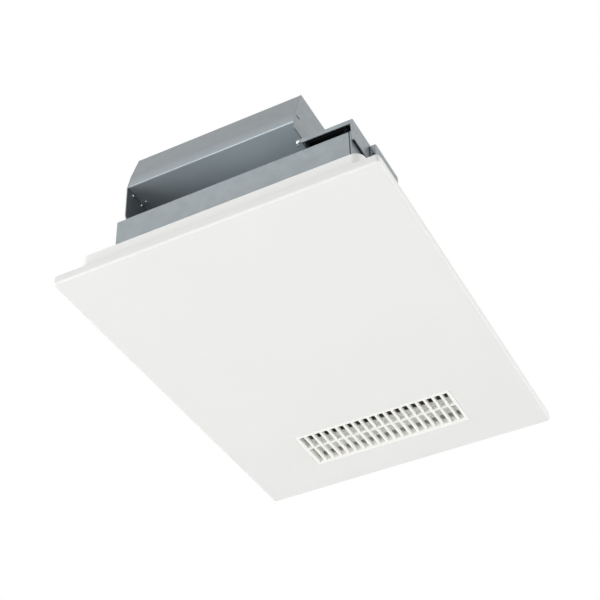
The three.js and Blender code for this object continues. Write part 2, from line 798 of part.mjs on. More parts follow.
// Right-hand casing: low roof, front rail, side skirt and far end, folded from one sheet
function casingRight() {
  const deckLeft = hoodRight + sheet + seatGap;
  const deck = plate(shapeOf([[railLeft, bodyNear], [skirtX, bodyNear], [skirtX, bodyFar],
    [deckLeft, bodyFar], [deckLeft, frontOfMidPlate], [railLeft, frontOfMidPlate]]),
  deckLevel - sheet, deckLevel);
  const face = [bodyNear, bodyNear + sheet];
  const rail = block([railLeft - sheet, skirtX], face, [deckLevel - railHeight, deckLevel]);
  const tab = block([railLeft - railTabWidth, railLeft], face,
    [deckLevel - railHeight - railTabDrop, deckLevel]);
  const skirt = block([skirtX - sheet, skirtX], [bodyNear, bodyFar], [deckLevel - skirtHeight, deckLevel]);
  const post = block([frameHalfWidth + seatGap, skirtX], face, [deckLevel - skirtHeight, deckLevel]);
  const end = block([deckLeft, skirtX], [bodyFar - sheet, bodyFar], [frameTopLevel + seatGap, deckLevel]);
  const hole = rod('y', smallShankRadius + screwHoleGap, bodyNear - cutOverrun, bodyNear + cutOverrun,
    railScrewPlace());
  return cut(join(deck, rail, tab, skirt, post, end), hole);
}

function railScrewPlace() {
  return [railLeft - railTabWidth / 2, deckLevel - railHeight / 2 - sheet];
}

// Near face of the hood as Y and Z pairs, from the bright lower fold to the top
function hoodFace() {
  return [[hoodNear, recessCeilingLevel], [bodyNear + hoodCreaseSetback, creaseLevel],
    [bodyNear + hoodTopSetback, hoodTopLevel]];
}

// Hood shell: recess ceiling, slanted and creased near face and top in one folded sheet
function hoodShell() {
  const back = recessBackY + sheet;
  const [fold, crease, top] = hoodFace();
  const outline = shapeOf([[back, fold[1]], fold, crease, top, [bodyFar, hoodTopLevel],
    [bodyFar, hoodInsideTop], [top[0] + sheet, hoodInsideTop], [crease[0] + sheet, crease[1]],
    [fold[0] + hoodFoldInset, fold[1] + sheet], [back, fold[1] + sheet]]);
  const shell = profileAlongX(outline, hoodInsideLeft, hoodInsideRight);
  const hole = rod('z', smallShankRadius + screwHoleGap, recessCeilingLevel - cutOverrun,
    recessCeilingLevel + sheet + cutOverrun, ceilingScrewPlace());
  return cut(shell, hole);
}

// Far wall of the hood with the exhaust port
function hoodEndFar() {
  const wall = block([hoodInsideLeft, hoodInsideRight], [bodyFar - sheet, bodyFar],
    [chamberFloor, hoodInsideTop - seatGap]);
  return cut(wall, rod('y', portRadius, bodyFar - sheet - cutOverrun, bodyFar + cutOverrun,
    [portX, portZ], roundSegments));
}

// Left end of the hood: reaches down to the recess floor with a rounded foot
function hoodSideLeft() {
  const [fold, crease, top] = hoodFace();
  const near = fold[0] - hoodSideLeftReach;
  const foot = frameTopLevel + seatGap;
  const round = hoodSideFootRound;
  const shape = new THREE.Shape();
  shape.moveTo(frontOfMidPlate - seatGap, foot);
  shape.lineTo(frontOfMidPlate - seatGap, chamberFloor);
  shape.lineTo(bodyFar, chamberFloor);
  shape.lineTo(bodyFar, hoodTopLevel);
  shape.lineTo(...top);
  shape.lineTo(...crease);
  shape.lineTo(near, fold[1]);
  shape.lineTo(near, foot + round);
  shape.absarc(near + round, foot + round, round, Math.PI, Math.PI * 1.5);
  shape.closePath();
  const side = profileAlongX(shape, hoodLeft - sheet, hoodLeft);
  const through = [hoodLeft - sheet - cutOverrun, hoodLeft + cutOverrun];
  const radius = smallShankRadius + screwHoleGap;
  const holes = recessScrewPlaces().map((place) => rod('x', radius, ...through, place));
  return cut(side, ...holes);
}

// The two screws in the recess's left wall, as Y and Z pairs
function recessScrewPlaces() {
  const first = bodyNear + recessScrewFirstInset;
  return [first, first + recessScrewPitch].map((y) => [y, recessCeilingLevel - recessScrewDrop]);
}

// The screw in the recess's ceiling, as an X and Y pair
function ceilingScrewPlace() {
  return [hoodLeft + ceilingScrewX, bodyNear + ceilingScrewY];
}

// Right end of the hood: stops short of the recess floor in front, stands on the middle plate behind
function hoodSideRight() {
  const [fold, crease, top] = hoodFace();
  const outline = shapeOf([[fold[0], hoodSideRightFoot], [frontOfMidPlate, hoodSideRightFoot],
    [frontOfMidPlate, chamberFloor], [bodyFar, chamberFloor], [bodyFar, hoodTopLevel], top, crease, fold]);
  const side = profileAlongX(outline, hoodRight, hoodRight + sheet);
  const slotNear = crease[0] - hoodSlotInset + sheet;
  const slot = block([hoodRight - cutOverrun, hoodRight + sheet + cutOverrun],
    [slotNear, slotNear + hoodSlotLength],
    [hoodSlotLevel - hoodSlotHeight / 2, hoodSlotLevel + hoodSlotHeight / 2]);
  return cut(side, slot);
}

// Back wall of the recess, notched where the low roof is
function recessBack() {
  const floor = frameTopLevel + seatGap;
  const upper = block([hoodInsideLeft, hoodInsideRight], [recessBackY, recessBackY + sheet],
    [floor, recessCeilingLevel - seatGap]);
  const lower = block([hoodInsideLeft, railLeft - seatGap], [recessBackY, recessBackY + sheet],
    [floor, deckLevel - sheet - seatGap]);
  return join(upper, lower);
}

// Side outline of a hanger bracket about the middle of its top, drawn in by an inset
function bracketOutline(inset, overrun) {
  const far = bracketLength / 2 + overrun;
  const near = -bracketLength / 2 + inset;
  const round = bracketRound - inset;
  const outline = new THREE.Shape();
  outline.moveTo(far, -inset);
  outline.lineTo(far, -bracketHeight - overrun);
  outline.lineTo(near, -bracketHeight - overrun);
  outline.lineTo(near, -bracketRound);
  outline.absarc(near + round, -bracketRound, round, Math.PI, Math.PI / 2, true);
  outline.closePath();
  return outline;
}

// Hanger bracket about its wall face at the top: a channel with one closed end and two screw holes
function hangerBracket() {
  const near = -bracketLength / 2;
  const channel = profileAlongX(bracketOutline(0, 0), 0, bracketReach);
  const hollow = profileAlongX(bracketOutline(sheet, cutOverrun), sheet, bracketReach - sheet);
  const sideHole = rod('x', bracketHoleRadius, sheet, bracketReach + cutOverrun,
    [near + bracketHoleInset, -bracketHoleDrop]);
  const endHole = rod('y', bracketEndHoleRadius, near - cutOverrun, near + sheet + cutOverrun,
    [bracketReach - bracketEndHoleInset, bracketEndHoleRise - bracketHeight]);
  return cut(channel, hollow, sideHole, endHole);
}

// Spiral of the fan housing as plan points at a given offset from the inner wall
function scrollSpiral(offset) {
  const points = [];
  const turn = 2 * Math.PI - scrollTongueAngle;
  for (let i = 0; i <= scrollSteps; i++) {
    const share = i / scrollSteps;
    const angle = scrollTongueAngle + turn * share;
    const radius = scrollStartRadius + (scrollEndRadius - scrollStartRadius) * share + offset;
    points.push([radius * Math.cos(angle), radius * Math.sin(angle)]);
  }
  return points;
}

// Fan housing wall about the fan axis: a spiral band that ends in two straight cheeks
function scrollHousing() {
  const inner = scrollSpiral(0);
  const outletY = scrollOutletY - fanY;
  const tongueX = inner[0][0];
  const cheekX = tongueX - scrollWall;
  const outer = scrollSpiral(scrollWall).slice(1).reverse();
  const heel = Math.sqrt((scrollStartRadius + scrollWall) ** 2 - cheekX ** 2);
  return plate(shapeOf([[tongueX, outletY], ...inner, [scrollEndRadius, outletY],
    [scrollEndRadius + scrollWall, outletY], ...outer, [cheekX, heel], [cheekX, outletY]]), 0, scrollHeight);
}

// Lid over the spiral with the shaft hole
function scrollCover() {
  const outletY = scrollOutletY - fanY;
  const rim = scrollSpiral(scrollWall);
  const lid = plate(shapeOf([...rim, [scrollEndRadius + scrollWall, outletY],
    [rim[0][0] - scrollWall, outletY]]), 0, sheet);
  return cut(lid, rod('z', shaftHoleRadius, -cutOverrun, sheet + cutOverrun, [0, 0], roundSegments));
}

// Bell mouth that leads the room air into the rotor's eye
function inletRing() {
  const lipOuter = inletThroat + inletLipWall;
  const rim = inletHoleRadius + inletFlangeReach;
  const round = inletRound;
  const under = -seatGap - inletLipWall;
  return turned([[rim, under], [rim, -seatGap], [lipOuter + round, -seatGap],
    [lipOuter + round / 3, round / 3], [lipOuter, round], [lipOuter, inletLipRise],
    [inletThroat, inletLipRise], [inletThroat, round], [inletThroat + round / 3, -seatGap],
    [inletThroat + round, under]], roundSegments);
}

// Curved fan blade as a plan outline
function bladeOutline(angle) {
  const inner = rotorEyeRadius;
  const outer = rotorRadius - seatGap;
  const front = [];
  const rear = [];
  for (let i = 0; i <= bladeSteps; i++) {
    const share = i / bladeSteps;
    const radius = inner + (outer - inner) * share;
    const lean = angle + bladeSweep * share * share;
    const half = bladeThickness / 2 / radius;
    front.push([radius * Math.cos(lean - half), radius * Math.sin(lean - half)]);
    rear.unshift([radius * Math.cos(lean + half), radius * Math.sin(lean + half)]);
  }
  return shapeOf([...front, ...rear]);
}

// Fan wheel about its axis: back plate with hub, blades and a rim at the eye
function fanRotor() {
  const plateUnder = rotorHeight - rotorPlate;
  const hubUnder = plateUnder - hubHeight;
  const disc = rod('z', rotorRadius, plateUnder, rotorHeight, [0, 0], roundSegments);
  const hub = rod('z', hubRadius, hubUnder, plateUnder + rotorPlate / 2, [0, 0]);
  const rim = turned([[rotorRadius - rotorRingWidth, 0], [rotorRadius, 0], [rotorRadius, rotorPlate],
    [rotorRadius - rotorRingWidth, rotorPlate]], roundSegments);
  const bore = rod('z', shaftRadius + pinClearance, hubUnder - cutOverrun, rotorHeight + cutOverrun, [0, 0]);
  const blades = [];
  for (let i = 0; i < bladeCount; i++) {
    const outline = bladeOutline((2 * Math.PI * i) / bladeCount);
    blades.push(plate(outline, rotorPlate / 2, plateUnder + rotorPlate / 2));
  }
  return cut(join(disc, hub, rim, ...blades), bore);
}

function motorShaft() {
  const hubUnder = rotorHeight - rotorPlate - hubHeight;
  const top = motorUnder - rotorUnder + shaftIntoMotor;
  return rod('z', shaftRadius, hubUnder - shaftBelowHub, top, [0, 0]);
}

function rotorNut() {
  const nut = rod('z', nutRadius, 0, nutHeight, [0, 0], nutSides);
  return cut(nut, rod('z', shaftRadius + pinClearance, -cutOverrun, nutHeight + cutOverrun, [0, 0]));
}

// Three-armed plate that carries the motor on the housing lid
function motorBracket() {
  const disc = rod('z', motorBracketRadius, 0, motorBracketThickness, [0, 0], nutSides);
  return cut(disc, rod('z', shaftHoleRadius, -cutOverrun, motorBracketThickness + cutOverrun, [0, 0],
    roundSegments));
}

function fanMotor() {
  const shoulder = motorHeight - motorCapHeight;
  const bore = shaftRadius + pinClearance;
  return turned([[bore, 0], [motorRadius, 0], [motorRadius, shoulder],
    [motorRadius - motorCapStep, motorHeight], [motorBossRadius, motorHeight],
    [motorBossRadius, motorHeight + motorBossHeight], [0, motorHeight + motorBossHeight],
    [0, shaftIntoMotor + seatGap], [bore, shaftIntoMotor + seatGap]], roundSegments);
}

// Wall between the fan and the air chamber, with the window of the housing's outlet
function fanPartition() {
  const near = scrollOutletY + seatGap;
  const wall = block([hoodInsideLeft, hoodInsideRight], [near, near + sheet],
    [chamberFloor, hoodInsideTop - seatGap]);
  const window = block([fanX + scrollSpiral(0)[0][0], fanX + scrollEndRadius],
    [near - cutOverrun, near + sheet + cutOverrun], [chamberFloor + sheet, scrollTop]);
  return cut(wall, window);
}

// Damper flap about its pivot line: plate towards the fan, barrel and end pins
function damperFlap() {
  const under = seatGap + pinClearance - flapPivotRise;
  const slab = block([flapLeft, flapRight], [-flapLength, 0], [under, under + flapThickness]);
  const barrel = rod('x', flapBarrel, flapLeft, flapRight, [0, 0]);
  const pin = rod('x', flapPinRadius, flapLeft - flapPinReach, hoodInsideRight, [0, 0]);
  return join(slab, barrel, pin);
}

// Geared motor at the damper's left end, about the pivot line
function damperMotor() {
  const far = bodyFar - sheet - seatGap - flapPivotY;
  const floor = chamberFloor - flapPivotZ;
  const body = block([hoodInsideLeft, hoodInsideLeft + damperMotorWidth], [far - damperMotorDepth, far],
    [floor, floor + damperMotorHeight]);
  const right = hoodInsideLeft + damperMotorWidth;
  return cut(body, rod('x', flapPinRadius + pinClearance, right - flapPinReach, right + cutOverrun, [0, 0]));
}

// Duct collar about the port axis, turned about Z and laid along +Y afterwards
function ductCollar() {
  const inner = collarRadius - collarWall;
  return alongY(turned([[inner, 0], [collarRadius + collarFlange, 0],
    [collarRadius + collarFlange, collarFlangeThickness], [collarRadius, collarFlangeThickness],
    [collarRadius, collarLength], [inner, collarLength], [inner, seatRingOffset + seatRingThickness],
    [seatRingRadius, seatRingOffset + seatRingThickness], [seatRingRadius, seatRingOffset],
    [inner, seatRingOffset]], roundSegments + smallSegments));
}

// Turns a solid made about Z so that its Z runs along +Y
function alongY(solid) {
  const geometry = geometryOf(solid);
  geometry.rotateX(-Math.PI / 2);
  return solidOf(geometry);
}

// Half width of the shutter at a depth below its hinge, so that it clears the collar shut and open
function shutterHalfWidth(depth) {
  const reach = collarRadius - collarWall - shutterMargin;
  const shut = shutterHingeRise - depth;
  const open = Math.max(0, shutterHingeRise - depth * Math.cos(shutterOpenAngle));
  return Math.sqrt(Math.max(0, reach * reach - Math.max(shut * shut, open * open)));
}

// Backdraft shutter about its hinge line: a plate hanging shut on the seat ring, with its barrel
function backdraftShutter() {
  const length = shutterHingeRise + collarRadius - collarWall - shutterMargin;
  const right = [];
  for (let i = 0; i < shutterSteps; i++) {
    const depth = length * Math.sin((Math.PI / 2) * (i / shutterSteps));
    right.push([shutterHalfWidth(depth), -depth]);
  }
  const left = right.map(([x, z]) => [-x, z]).reverse();
  const near = -shutterBarrel - shutterThickness / 2;
  const slab = standing(plate(shapeOf([...left, ...right, [0, -length]].reverse()), 0, shutterThickness),
    near + shutterThickness);
  const half = shutterHalfWidth(0) - shutterBarrelInset;
  const barrel = rod('x', shutterBarrel, -half, half, [0, 0]);
  const web = block([-half, half], [near, 0], [-shutterBarrel, 0]);
  const bore = rod('x', shutterPinRadius + pinClearance, -half - cutOverrun, half + cutOverrun, [0, 0]);
  return cut(join(slab, barrel, web), bore);
}

// Stands a plan shape upright in X and Z, its far face at the given Y
function standing(solid, y) {
  const geometry = geometryOf(solid);
  geometry.rotateX(Math.PI / 2);
  geometry.translate(0, y, 0);
  return solidOf(geometry);
}

// Hinge pin that spans the collar's bore at the hinge line
function shutterPin() {
  const bore = collarRadius - collarWall;
  const half = Math.sqrt(bore * bore - (shutterHingeRise + shutterPinRadius) ** 2) - seatGap;
  return rod('x', shutterPinRadius, -half, half, [0, 0]);
}

// Outlet duct: sheet-metal box over the nozzle, its mouth in the top under the middle plate
function outletDuct() {
  const top = midPlateUnder - seatGap;
  const shell = block([nozzleLeft, nozzleRight], [nozzleNear, nozzleFar], [ductFloorLevel, top]);
  const inside = block([nozzleLeft + sheet, nozzleRight - sheet], [nozzleNear + sheet, nozzleFar - sheet],
    [ductFloorLevel - cutOverrun, top - sheet]);
  const mouth = block([ductOpenLeft, ductOpenRight], [ductOpenNear, ductOpenFar],
    [top - sheet - cutOverrun, top + cutOverrun]);
  return cut(shell, inside, mouth);
}

function heaterBounds() {
  const gap = sheet + seatGap;
  return { x: [nozzleLeft + gap, nozzleRight - gap], y: [nozzleNear + gap, nozzleFar - gap] };
}

// Heater frame: rectangular carrier inside the duct
function heaterFrame() {
  const { x, y } = heaterBounds();
  const z = [heaterUnderLevel, heaterUnderLevel + heaterFrameHeight];
  const opening = block([x[0] + heaterFrameRim, x[1] - heaterFrameRim],
    [y[0] + heaterFrameRim, y[1] - heaterFrameRim], [z[0] - cutOverrun, z[1] + cutOverrun]);
  return cut(block(x, y, z), opening);
}

// Heater core: bars along X with fins between them
function heaterCore() {
  const { x, y } = heaterBounds();
  const margin = heaterFrameRim + seatGap;
  const [x0, x1] = [x[0] + margin, x[1] - margin];
  const [y0, y1] = [y[0] + margin, y[1] - margin];
  const z0 = heaterUnderLevel + (heaterFrameHeight - coreHeight) / 2;
  const z = [z0, z0 + coreHeight];
  const rowPitch = (y1 - y0 - coreBarWidth) / (coreBars - 1);
  const cellPitch = (x1 - x0 - coreFin) / coreCells;
  const parts = [];
  for (let row = 0; row < coreBars; row++) {
    const near = y0 + row * rowPitch;
    parts.push(block([x0, x1], [near, near + coreBarWidth], z));
  }
  for (let cell = 0; cell <= coreCells; cell++) {
    const left = x0 + cell * cellPitch;
    parts.push(block([left, left + coreFin], [y0, y1], z));
  }
  return join(...parts);
}

function thermalFuse() {
  const { x, y } = heaterBounds();
  const floor = heaterUnderLevel + heaterFrameHeight + seatGap;
  const middle = (y[0] + y[1]) / 2;
  const left = x[0] + (heaterFrameRim - fuseWidth) / 2;
  const box = block([left, left + fuseWidth], [middle - fuseLength / 2, middle + fuseLength / 2],
    [floor, floor + fuseWidth]);
  const lead = rod('y', fuseLeadRadius, middle - fuseLength, middle + fuseLength,
    [left + fuseWidth / 2, floor + fuseWidth / 2]);
  return join(box, lead);
}

// Control box: tray open below, hung under the low roof, with the cable window at its near end
function controlBox() {
  const top = deckLevel - sheet - seatGap;
  const z = [top - controlHeight, top];
  const shell = block([controlLeft, controlRight], [controlNear, controlFar], z);
  const inside = block([controlLeft + controlWall, controlRight - controlWall],
    [controlNear + controlWall, controlFar - controlWall], [z[0] - cutOverrun, top - controlWall]);
  const window = block([controlLeft + cableWindowInset, controlRight - cableWindowInset],
    [controlNear - cutOverrun, controlNear + controlWall + cutOverrun],
    [top - cableWindowDrop - cableWindowHeight, top - cableWindowDrop]);
  const posts = boardPosts().map(([x, y]) => rod('z', boardPostRadius, boardTop() + seatGap,
    top - controlWall / 2, [x, y]));
  const wireHole = rod('x', bushingRadius + pinClearance, controlLeft - cutOverrun,
    controlLeft + controlWall + cutOverrun, bushingPlace());
  return join(cut(shell, inside, window, wireHole), ...posts);
}

// Centre of the wire hole in the control box's left wall, as a Y and Z pair
function bushingPlace() {
  return [controlNear + bushingInset, deckLevel - bushingDrop];
}

function boardTop() {
  return deckLevel - sheet - seatGap - boardDrop;
}

function boardBounds() {
  const inset = controlWall + boardInset;
  return {
    x: [controlLeft + inset, controlRight - inset],
    y: [controlFar - inset - boardLength, controlFar - inset],
  };
}

function boardPosts() {
  const { x, y } = boardBounds();
  const spots = [];
  for (const px of [x[0] + boardPostInset, x[1] - boardPostInset]) {
    for (const py of [y[0] + boardPostInset, y[1] - boardPostInset]) spots.push([px, py]);
  }
  return spots;
}

// Circuit board with its relays, capacitor and plug strip on the lower side
function circuitBoard() {
  const { x, y } = boardBounds();
  const top = boardTop();
  const under = top - boardThickness;
  const overlap = under + boardThickness / 2;
  const board = block(x, y, [under, top]);
  const centreX = (x[0] + x[1]) / 2;
  const relayWidth = (x[1] - x[0]) * relayShare;
  const relays = [0, 1].map((i) => {
    const near = y[0] + boardPostInset + i * (relayLength + boardInset);
    return block([centreX - relayWidth, centreX], [near, near + relayLength], [under - relayHeight, overlap]);
  });
  const capacitor = rod('z', capacitorRadius, under - capacitorHeight, overlap,
    [centreX, y[1] - boardPostInset - capacitorRadius]);
  const plug = block([x[1] - boardInset - plugWidth, x[1] - boardInset],
    [y[0] + boardPostInset, y[0] + boardPostInset + plugLength], [under - plugHeight, overlap]);
  return join(board, capacitor, plug, ...relays);
}

// Terminal block for the mains cable, behind the cable window
function terminalBlock() {
  const top = deckLevel - sheet - seatGap - controlWall - seatGap;
  const middle = (controlLeft + controlRight) / 2;
  const near = controlNear + controlWall + terminalSetback;
  const terminalLength = controlRight - controlLeft - 2 * terminalSideGap;
  const body = block([middle - terminalLength / 2, middle + terminalLength / 2],
    [near, near + terminalDepth], [top - terminalHeight, top]);
  const pitch = (terminalLength - terminalWallThickness) / terminalCount;
  const cells = Array.from({ length: terminalCount }, (_, i) => {
    const left = middle - terminalLength / 2 + terminalWallThickness + i * pitch;
    return block([left, left + pitch - terminalWallThickness], [near - cutOverrun, near + terminalCut],
      [top - terminalHeight - cutOverrun, top - terminalHeight + terminalCut]);
  });
  return cut(body, ...cells);
}

function controlCover() {
  const under = deckLevel - sheet - seatGap - controlHeight - seatGap - controlCoverThickness;
  const lid = block([controlLeft, controlRight], [controlNear, controlFar],
    [under, under + controlCoverThickness]);
  const gap = controlWall + seatGap;
  const outerLip = block([controlLeft + gap, controlRight - gap], [controlNear + gap, controlFar - gap],
    [under + controlCoverThickness / 2, under + controlCoverThickness + boardInset]);
  const innerLip = block([controlLeft + gap + controlWall, controlRight - gap - controlWall],
    [controlNear + gap + controlWall, controlFar - gap - controlWall],
    [under + controlCoverThickness, under + controlCoverThickness + boardInset + cutOverrun]);
  return join(lid, cut(outerLip, innerLip));
}

// Wire bushing about the centre of its hole, flange towards +X
function wireBushing() {
  const length = bushingLength;
  const back = -(controlWall + length / 2);
  const ring = turned([[bushingBore, back], [bushingRadius, back], [bushingRadius, seatGap],
    [bushingFlange, seatGap], [bushingFlange, seatGap + bushingFlangeThickness],
    [bushingRadius, length / 2], [bushingBore, length / 2]], smallSegments);
  const geometry = geometryOf(ring);
  geometry.rotateY(Math.PI / 2);
  return solidOf(geometry);
}

// Assembly: the parts that drop with the front panel
const frontGroup = groupAt([0, 0, 0],
  piece('front_panel', frontPanel(), finishes.whitePanel),
  piece('outlet_grille', outletGrille(), finishes.whiteGrille, [grilleX, grilleY, 0]));
for (const [side, sideName] of [[-1, 'left'], [1, 'right']]) {
  for (const [y, endName] of [[armNearY, 'near'], [armFarY, 'far']]) {
    const arm = piece(`panel_arm_${sideName}_${endName}`, panelArm(), finishes.whitePanel,
      [side * armX, y, panelSkin + seatGap]);
    if (side < 0) arm.rotation.z = Math.PI;
    frontGroup.add(arm);
  }
}

// Base, filter and base screws
const baseGroup = groupAt([0, 0, 0],
  piece('panel_base', panelBase(), finishes.whitePanel),
  piece('intake_filter', intakeFilter(), finishes.filterMesh, [0, 0, filterUnder]));
for (const [sx, sideName] of [[-1, 'left'], [1, 'right']]) {
  for (const [sy, endName] of [[-1, 'near'], [1, 'far']]) {
    const shank = ceilingLevel + screwGrip - baseUnderLevel;
    baseGroup.add(piece(`base_screw_${sideName}_${endName}`,
      screw(screwHeadRadius, screwHeadHeight, screwShankRadius, shank), finishes.brightSteel,
      [sx * bossX, sy * bossY, baseUnderLevel - seatGap - screwHeadHeight]));
  }
}

// Outlet: nozzle, louvres, duct and heater
const crankEye = [-crankLength * Math.sin(crankLean), crankLength * Math.cos(crankLean)];
const linkX = nozzleLeft - seatGap - crankThickness - seatGap - linkThickness;
const outletGroup = groupAt([0, 0, 0],
  piece('outlet_nozzle', outletNozzle(), finishes.whitePanel),
  piece('louvre_vane_near', louvreVane(vaneNearChord, vaneNearDrop,
    nozzleWall + vaneEndGap + seatGap + louvreMotorPin), finishes.whiteGrille,
  [0, vaneNearPivotY, vanePivotZ]),
  piece('louvre_vane_far', louvreVane(vaneFarChord, vaneFarDrop, nozzleWall + vaneEndGap),
    finishes.whiteGrille, [0, vaneFarPivotY, vanePivotZ]),
  piece('louvre_link', louvreLink(), finishes.whiteGrille,
    [linkX, vaneNearPivotY + crankEye[0], vanePivotZ + crankEye[1]]),
  piece('louvre_motor', louvreMotor(), finishes.brightSteel,
    [nozzleRight + seatGap, vaneNearPivotY, vanePivotZ]),
  piece('outlet_duct', outletDuct(), finishes.galvanised),
  piece('heater_frame', heaterFrame(), finishes.darkPlastic),
  piece('heater_core', heaterCore(), finishes.heaterMetal),
  piece('thermal_fuse', thermalFuse(), finishes.brightSteel));

// Sheet-metal body
const bodyGroup = groupAt([0, 0, 0],
  piece('near_end_plate', nearEndPlate(), finishes.galvanised),
  piece('frame_side_left', frameSide(-1), finishes.galvanised),
  piece('frame_side_right', frameSide(1), finishes.galvanised),
  piece('frame_end_far', frameEndFar(), finishes.galvanised),
  piece('middle_plate', midPlate(), finishes.galvanised),
  piece('casing_right', casingRight(), finishes.galvanised),
  piece('hood_shell', hoodShell(), finishes.galvanised),
  piece('hood_end_far', hoodEndFar(), finishes.galvanised),
  piece('hood_side_left', hoodSideLeft(), finishes.galvanised),
  piece('hood_side_right', hoodSideRight(), finishes.galvanised),
  piece('recess_back', recessBack(), finishes.galvanised));
const bracketFaces = {
  left: { x: -frameHalfWidth - seatGap, top: frameTopLevel - bracketTopInset, turn: Math.PI,
    ends: { near: -1, far: 1 } },
  right: { x: skirtX + seatGap, top: deckLevel - bracketTopInset, turn: 0, ends: { near: -1 } },
};
for (const [sideName, face] of Object.entries(bracketFaces)) {
  for (const [endName, end] of Object.entries(face.ends)) {
    const bracket = piece(`hanger_bracket_${sideName}_${endName}`, hangerBracket(), finishes.galvanised,
      [face.x, (end * bracketSpread) / 2, face.top]);
    bracket.rotation.z = face.turn;
    bodyGroup.add(bracket);
  }
}
function smallScrew(name, place) {
  return piece(name, screw(smallHeadRadius, smallHeadHeight, smallShankRadius, smallShankLength),
    finishes.brightSteel, place);
}
const headStandOff = seatGap + smallHeadHeight;
recessScrewPlaces().forEach((place, i) => {
  const fastener = smallScrew(`recess_screw_${i + 1}`, [hoodLeft + headStandOff, ...place]);
  fastener.rotation.y = -Math.PI / 2;
  bodyGroup.add(fastener);
});
const railScrew = smallScrew('rail_screw',
  [railScrewPlace()[0], bodyNear - headStandOff, railScrewPlace()[1]]);
railScrew.rotation.x = -Math.PI / 2;
bodyGroup.add(railScrew, smallScrew('recess_screw_3',
  [...ceilingScrewPlace(), recessCeilingLevel - headStandOff]));

// Fan, placed on its own axis
const fanGroup = groupAt([fanX, fanY, 0],
  piece('scroll_housing', scrollHousing(), finishes.galvanised, [0, 0, chamberFloor]),
  piece('scroll_cover', scrollCover(), finishes.galvanised, [0, 0, scrollTop + seatGap]),
  piece('inlet_ring', inletRing(), finishes.whitePanel, [0, 0, midPlateUnder]),
  groupAt([0, 0, rotorUnder],
    piece('fan_rotor', fanRotor(), finishes.darkPlastic),
    piece('motor_shaft', motorShaft(), finishes.brightSteel),
    piece('rotor_nut', rotorNut(), finishes.brightSteel,
      [0, 0, rotorHeight - rotorPlate - hubHeight - seatGap - nutHeight])),
  piece('motor_bracket', motorBracket(), finishes.galvanised, [0, 0, motorBracketUnder]),
  piece('fan_motor', fanMotor(), finishes.brightSteel, [0, 0, motorUnder]));

// Air chamber, damper and exhaust port
const airGroup = groupAt([0, 0, 0],
  piece('fan_partition', fanPartition(), finishes.galvanised),
  piece('damper_flap', damperFlap(), finishes.galvanised, [0, flapPivotY, flapPivotZ]),
  piece('damper_motor', damperMotor(), finishes.darkPlastic, [0, flapPivotY, flapPivotZ]),
  piece('duct_collar', ductCollar(), finishes.whitePanel, [portX, bodyFar + seatGap, portZ]));
const shutterY = bodyFar + seatGap + seatRingOffset + seatRingThickness + seatGap
  + shutterBarrel + shutterThickness / 2;
airGroup.add(groupAt([portX, shutterY, portZ + shutterHingeRise],
  piece('backdraft_shutter', backdraftShutter(), finishes.whiteGrille),
  piece('shutter_pin', shutterPin(), finishes.brightSteel)));

// Control box
const bushing = piece('wire_bushing', wireBushing(), finishes.rubber, [controlLeft, ...bushingPlace()]);
bushing.rotation.z = Math.PI;
const controlGroup = groupAt([0, 0, 0],
  bushing,
  piece('control_box', controlBox(), finishes.darkPlastic),
  piece('circuit_board', circuitBoard(), finishes.circuitGreen),
  piece('terminal_block', terminalBlock(), finishes.greyPlastic),
  piece('control_cover', controlCover(), finishes.darkPlastic));

const heaterVentilator = groupAt([0, 0, 0], frontGroup, baseGroup, outletGroup, bodyGroup, fanGroup, airGroup,
  controlGroup);

export default heaterVentilator;
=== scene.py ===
"""Ceiling-recessed bathroom heater ventilator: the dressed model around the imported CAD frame."""
import json
import math
import bpy
from mathutils import Matrix, Vector


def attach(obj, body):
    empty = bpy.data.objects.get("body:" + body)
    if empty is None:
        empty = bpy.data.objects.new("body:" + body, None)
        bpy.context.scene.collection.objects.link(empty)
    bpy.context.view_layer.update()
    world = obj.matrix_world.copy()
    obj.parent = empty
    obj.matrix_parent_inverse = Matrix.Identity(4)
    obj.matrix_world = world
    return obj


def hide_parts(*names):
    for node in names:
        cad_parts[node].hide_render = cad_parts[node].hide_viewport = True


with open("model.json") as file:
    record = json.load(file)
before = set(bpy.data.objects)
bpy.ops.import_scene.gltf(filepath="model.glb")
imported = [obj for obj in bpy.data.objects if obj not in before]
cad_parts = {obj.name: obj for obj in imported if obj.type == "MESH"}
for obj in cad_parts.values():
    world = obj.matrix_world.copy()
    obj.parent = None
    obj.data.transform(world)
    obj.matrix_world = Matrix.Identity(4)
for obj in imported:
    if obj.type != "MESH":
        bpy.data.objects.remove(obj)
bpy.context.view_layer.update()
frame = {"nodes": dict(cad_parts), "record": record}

MM = 0.001
SHEET = 1.2


# Shader values

def maths(operation, swapped=False):
    """An arithmetic method that adds one Math node."""
    def method(amount, other):
        first, second = (other, amount) if swapped else (amount, other)
        return amount.finish.node("ShaderNodeMath", {"operation": operation}, {0: first, 1: second})
    return method


class Amount:
    """A socket in a material; arithmetic on it adds Math nodes."""

    def __init__(self, finish, socket):
        self.finish = finish
        self.socket = socket

    __add__ = maths("ADD")
    __radd__ = maths("ADD", swapped=True)
    __sub__ = maths("SUBTRACT")
    __rsub__ = maths("SUBTRACT", swapped=True)
    __mul__ = maths("MULTIPLY")
    __rmul__ = maths("MULTIPLY", swapped=True)
    __truediv__ = maths("DIVIDE")


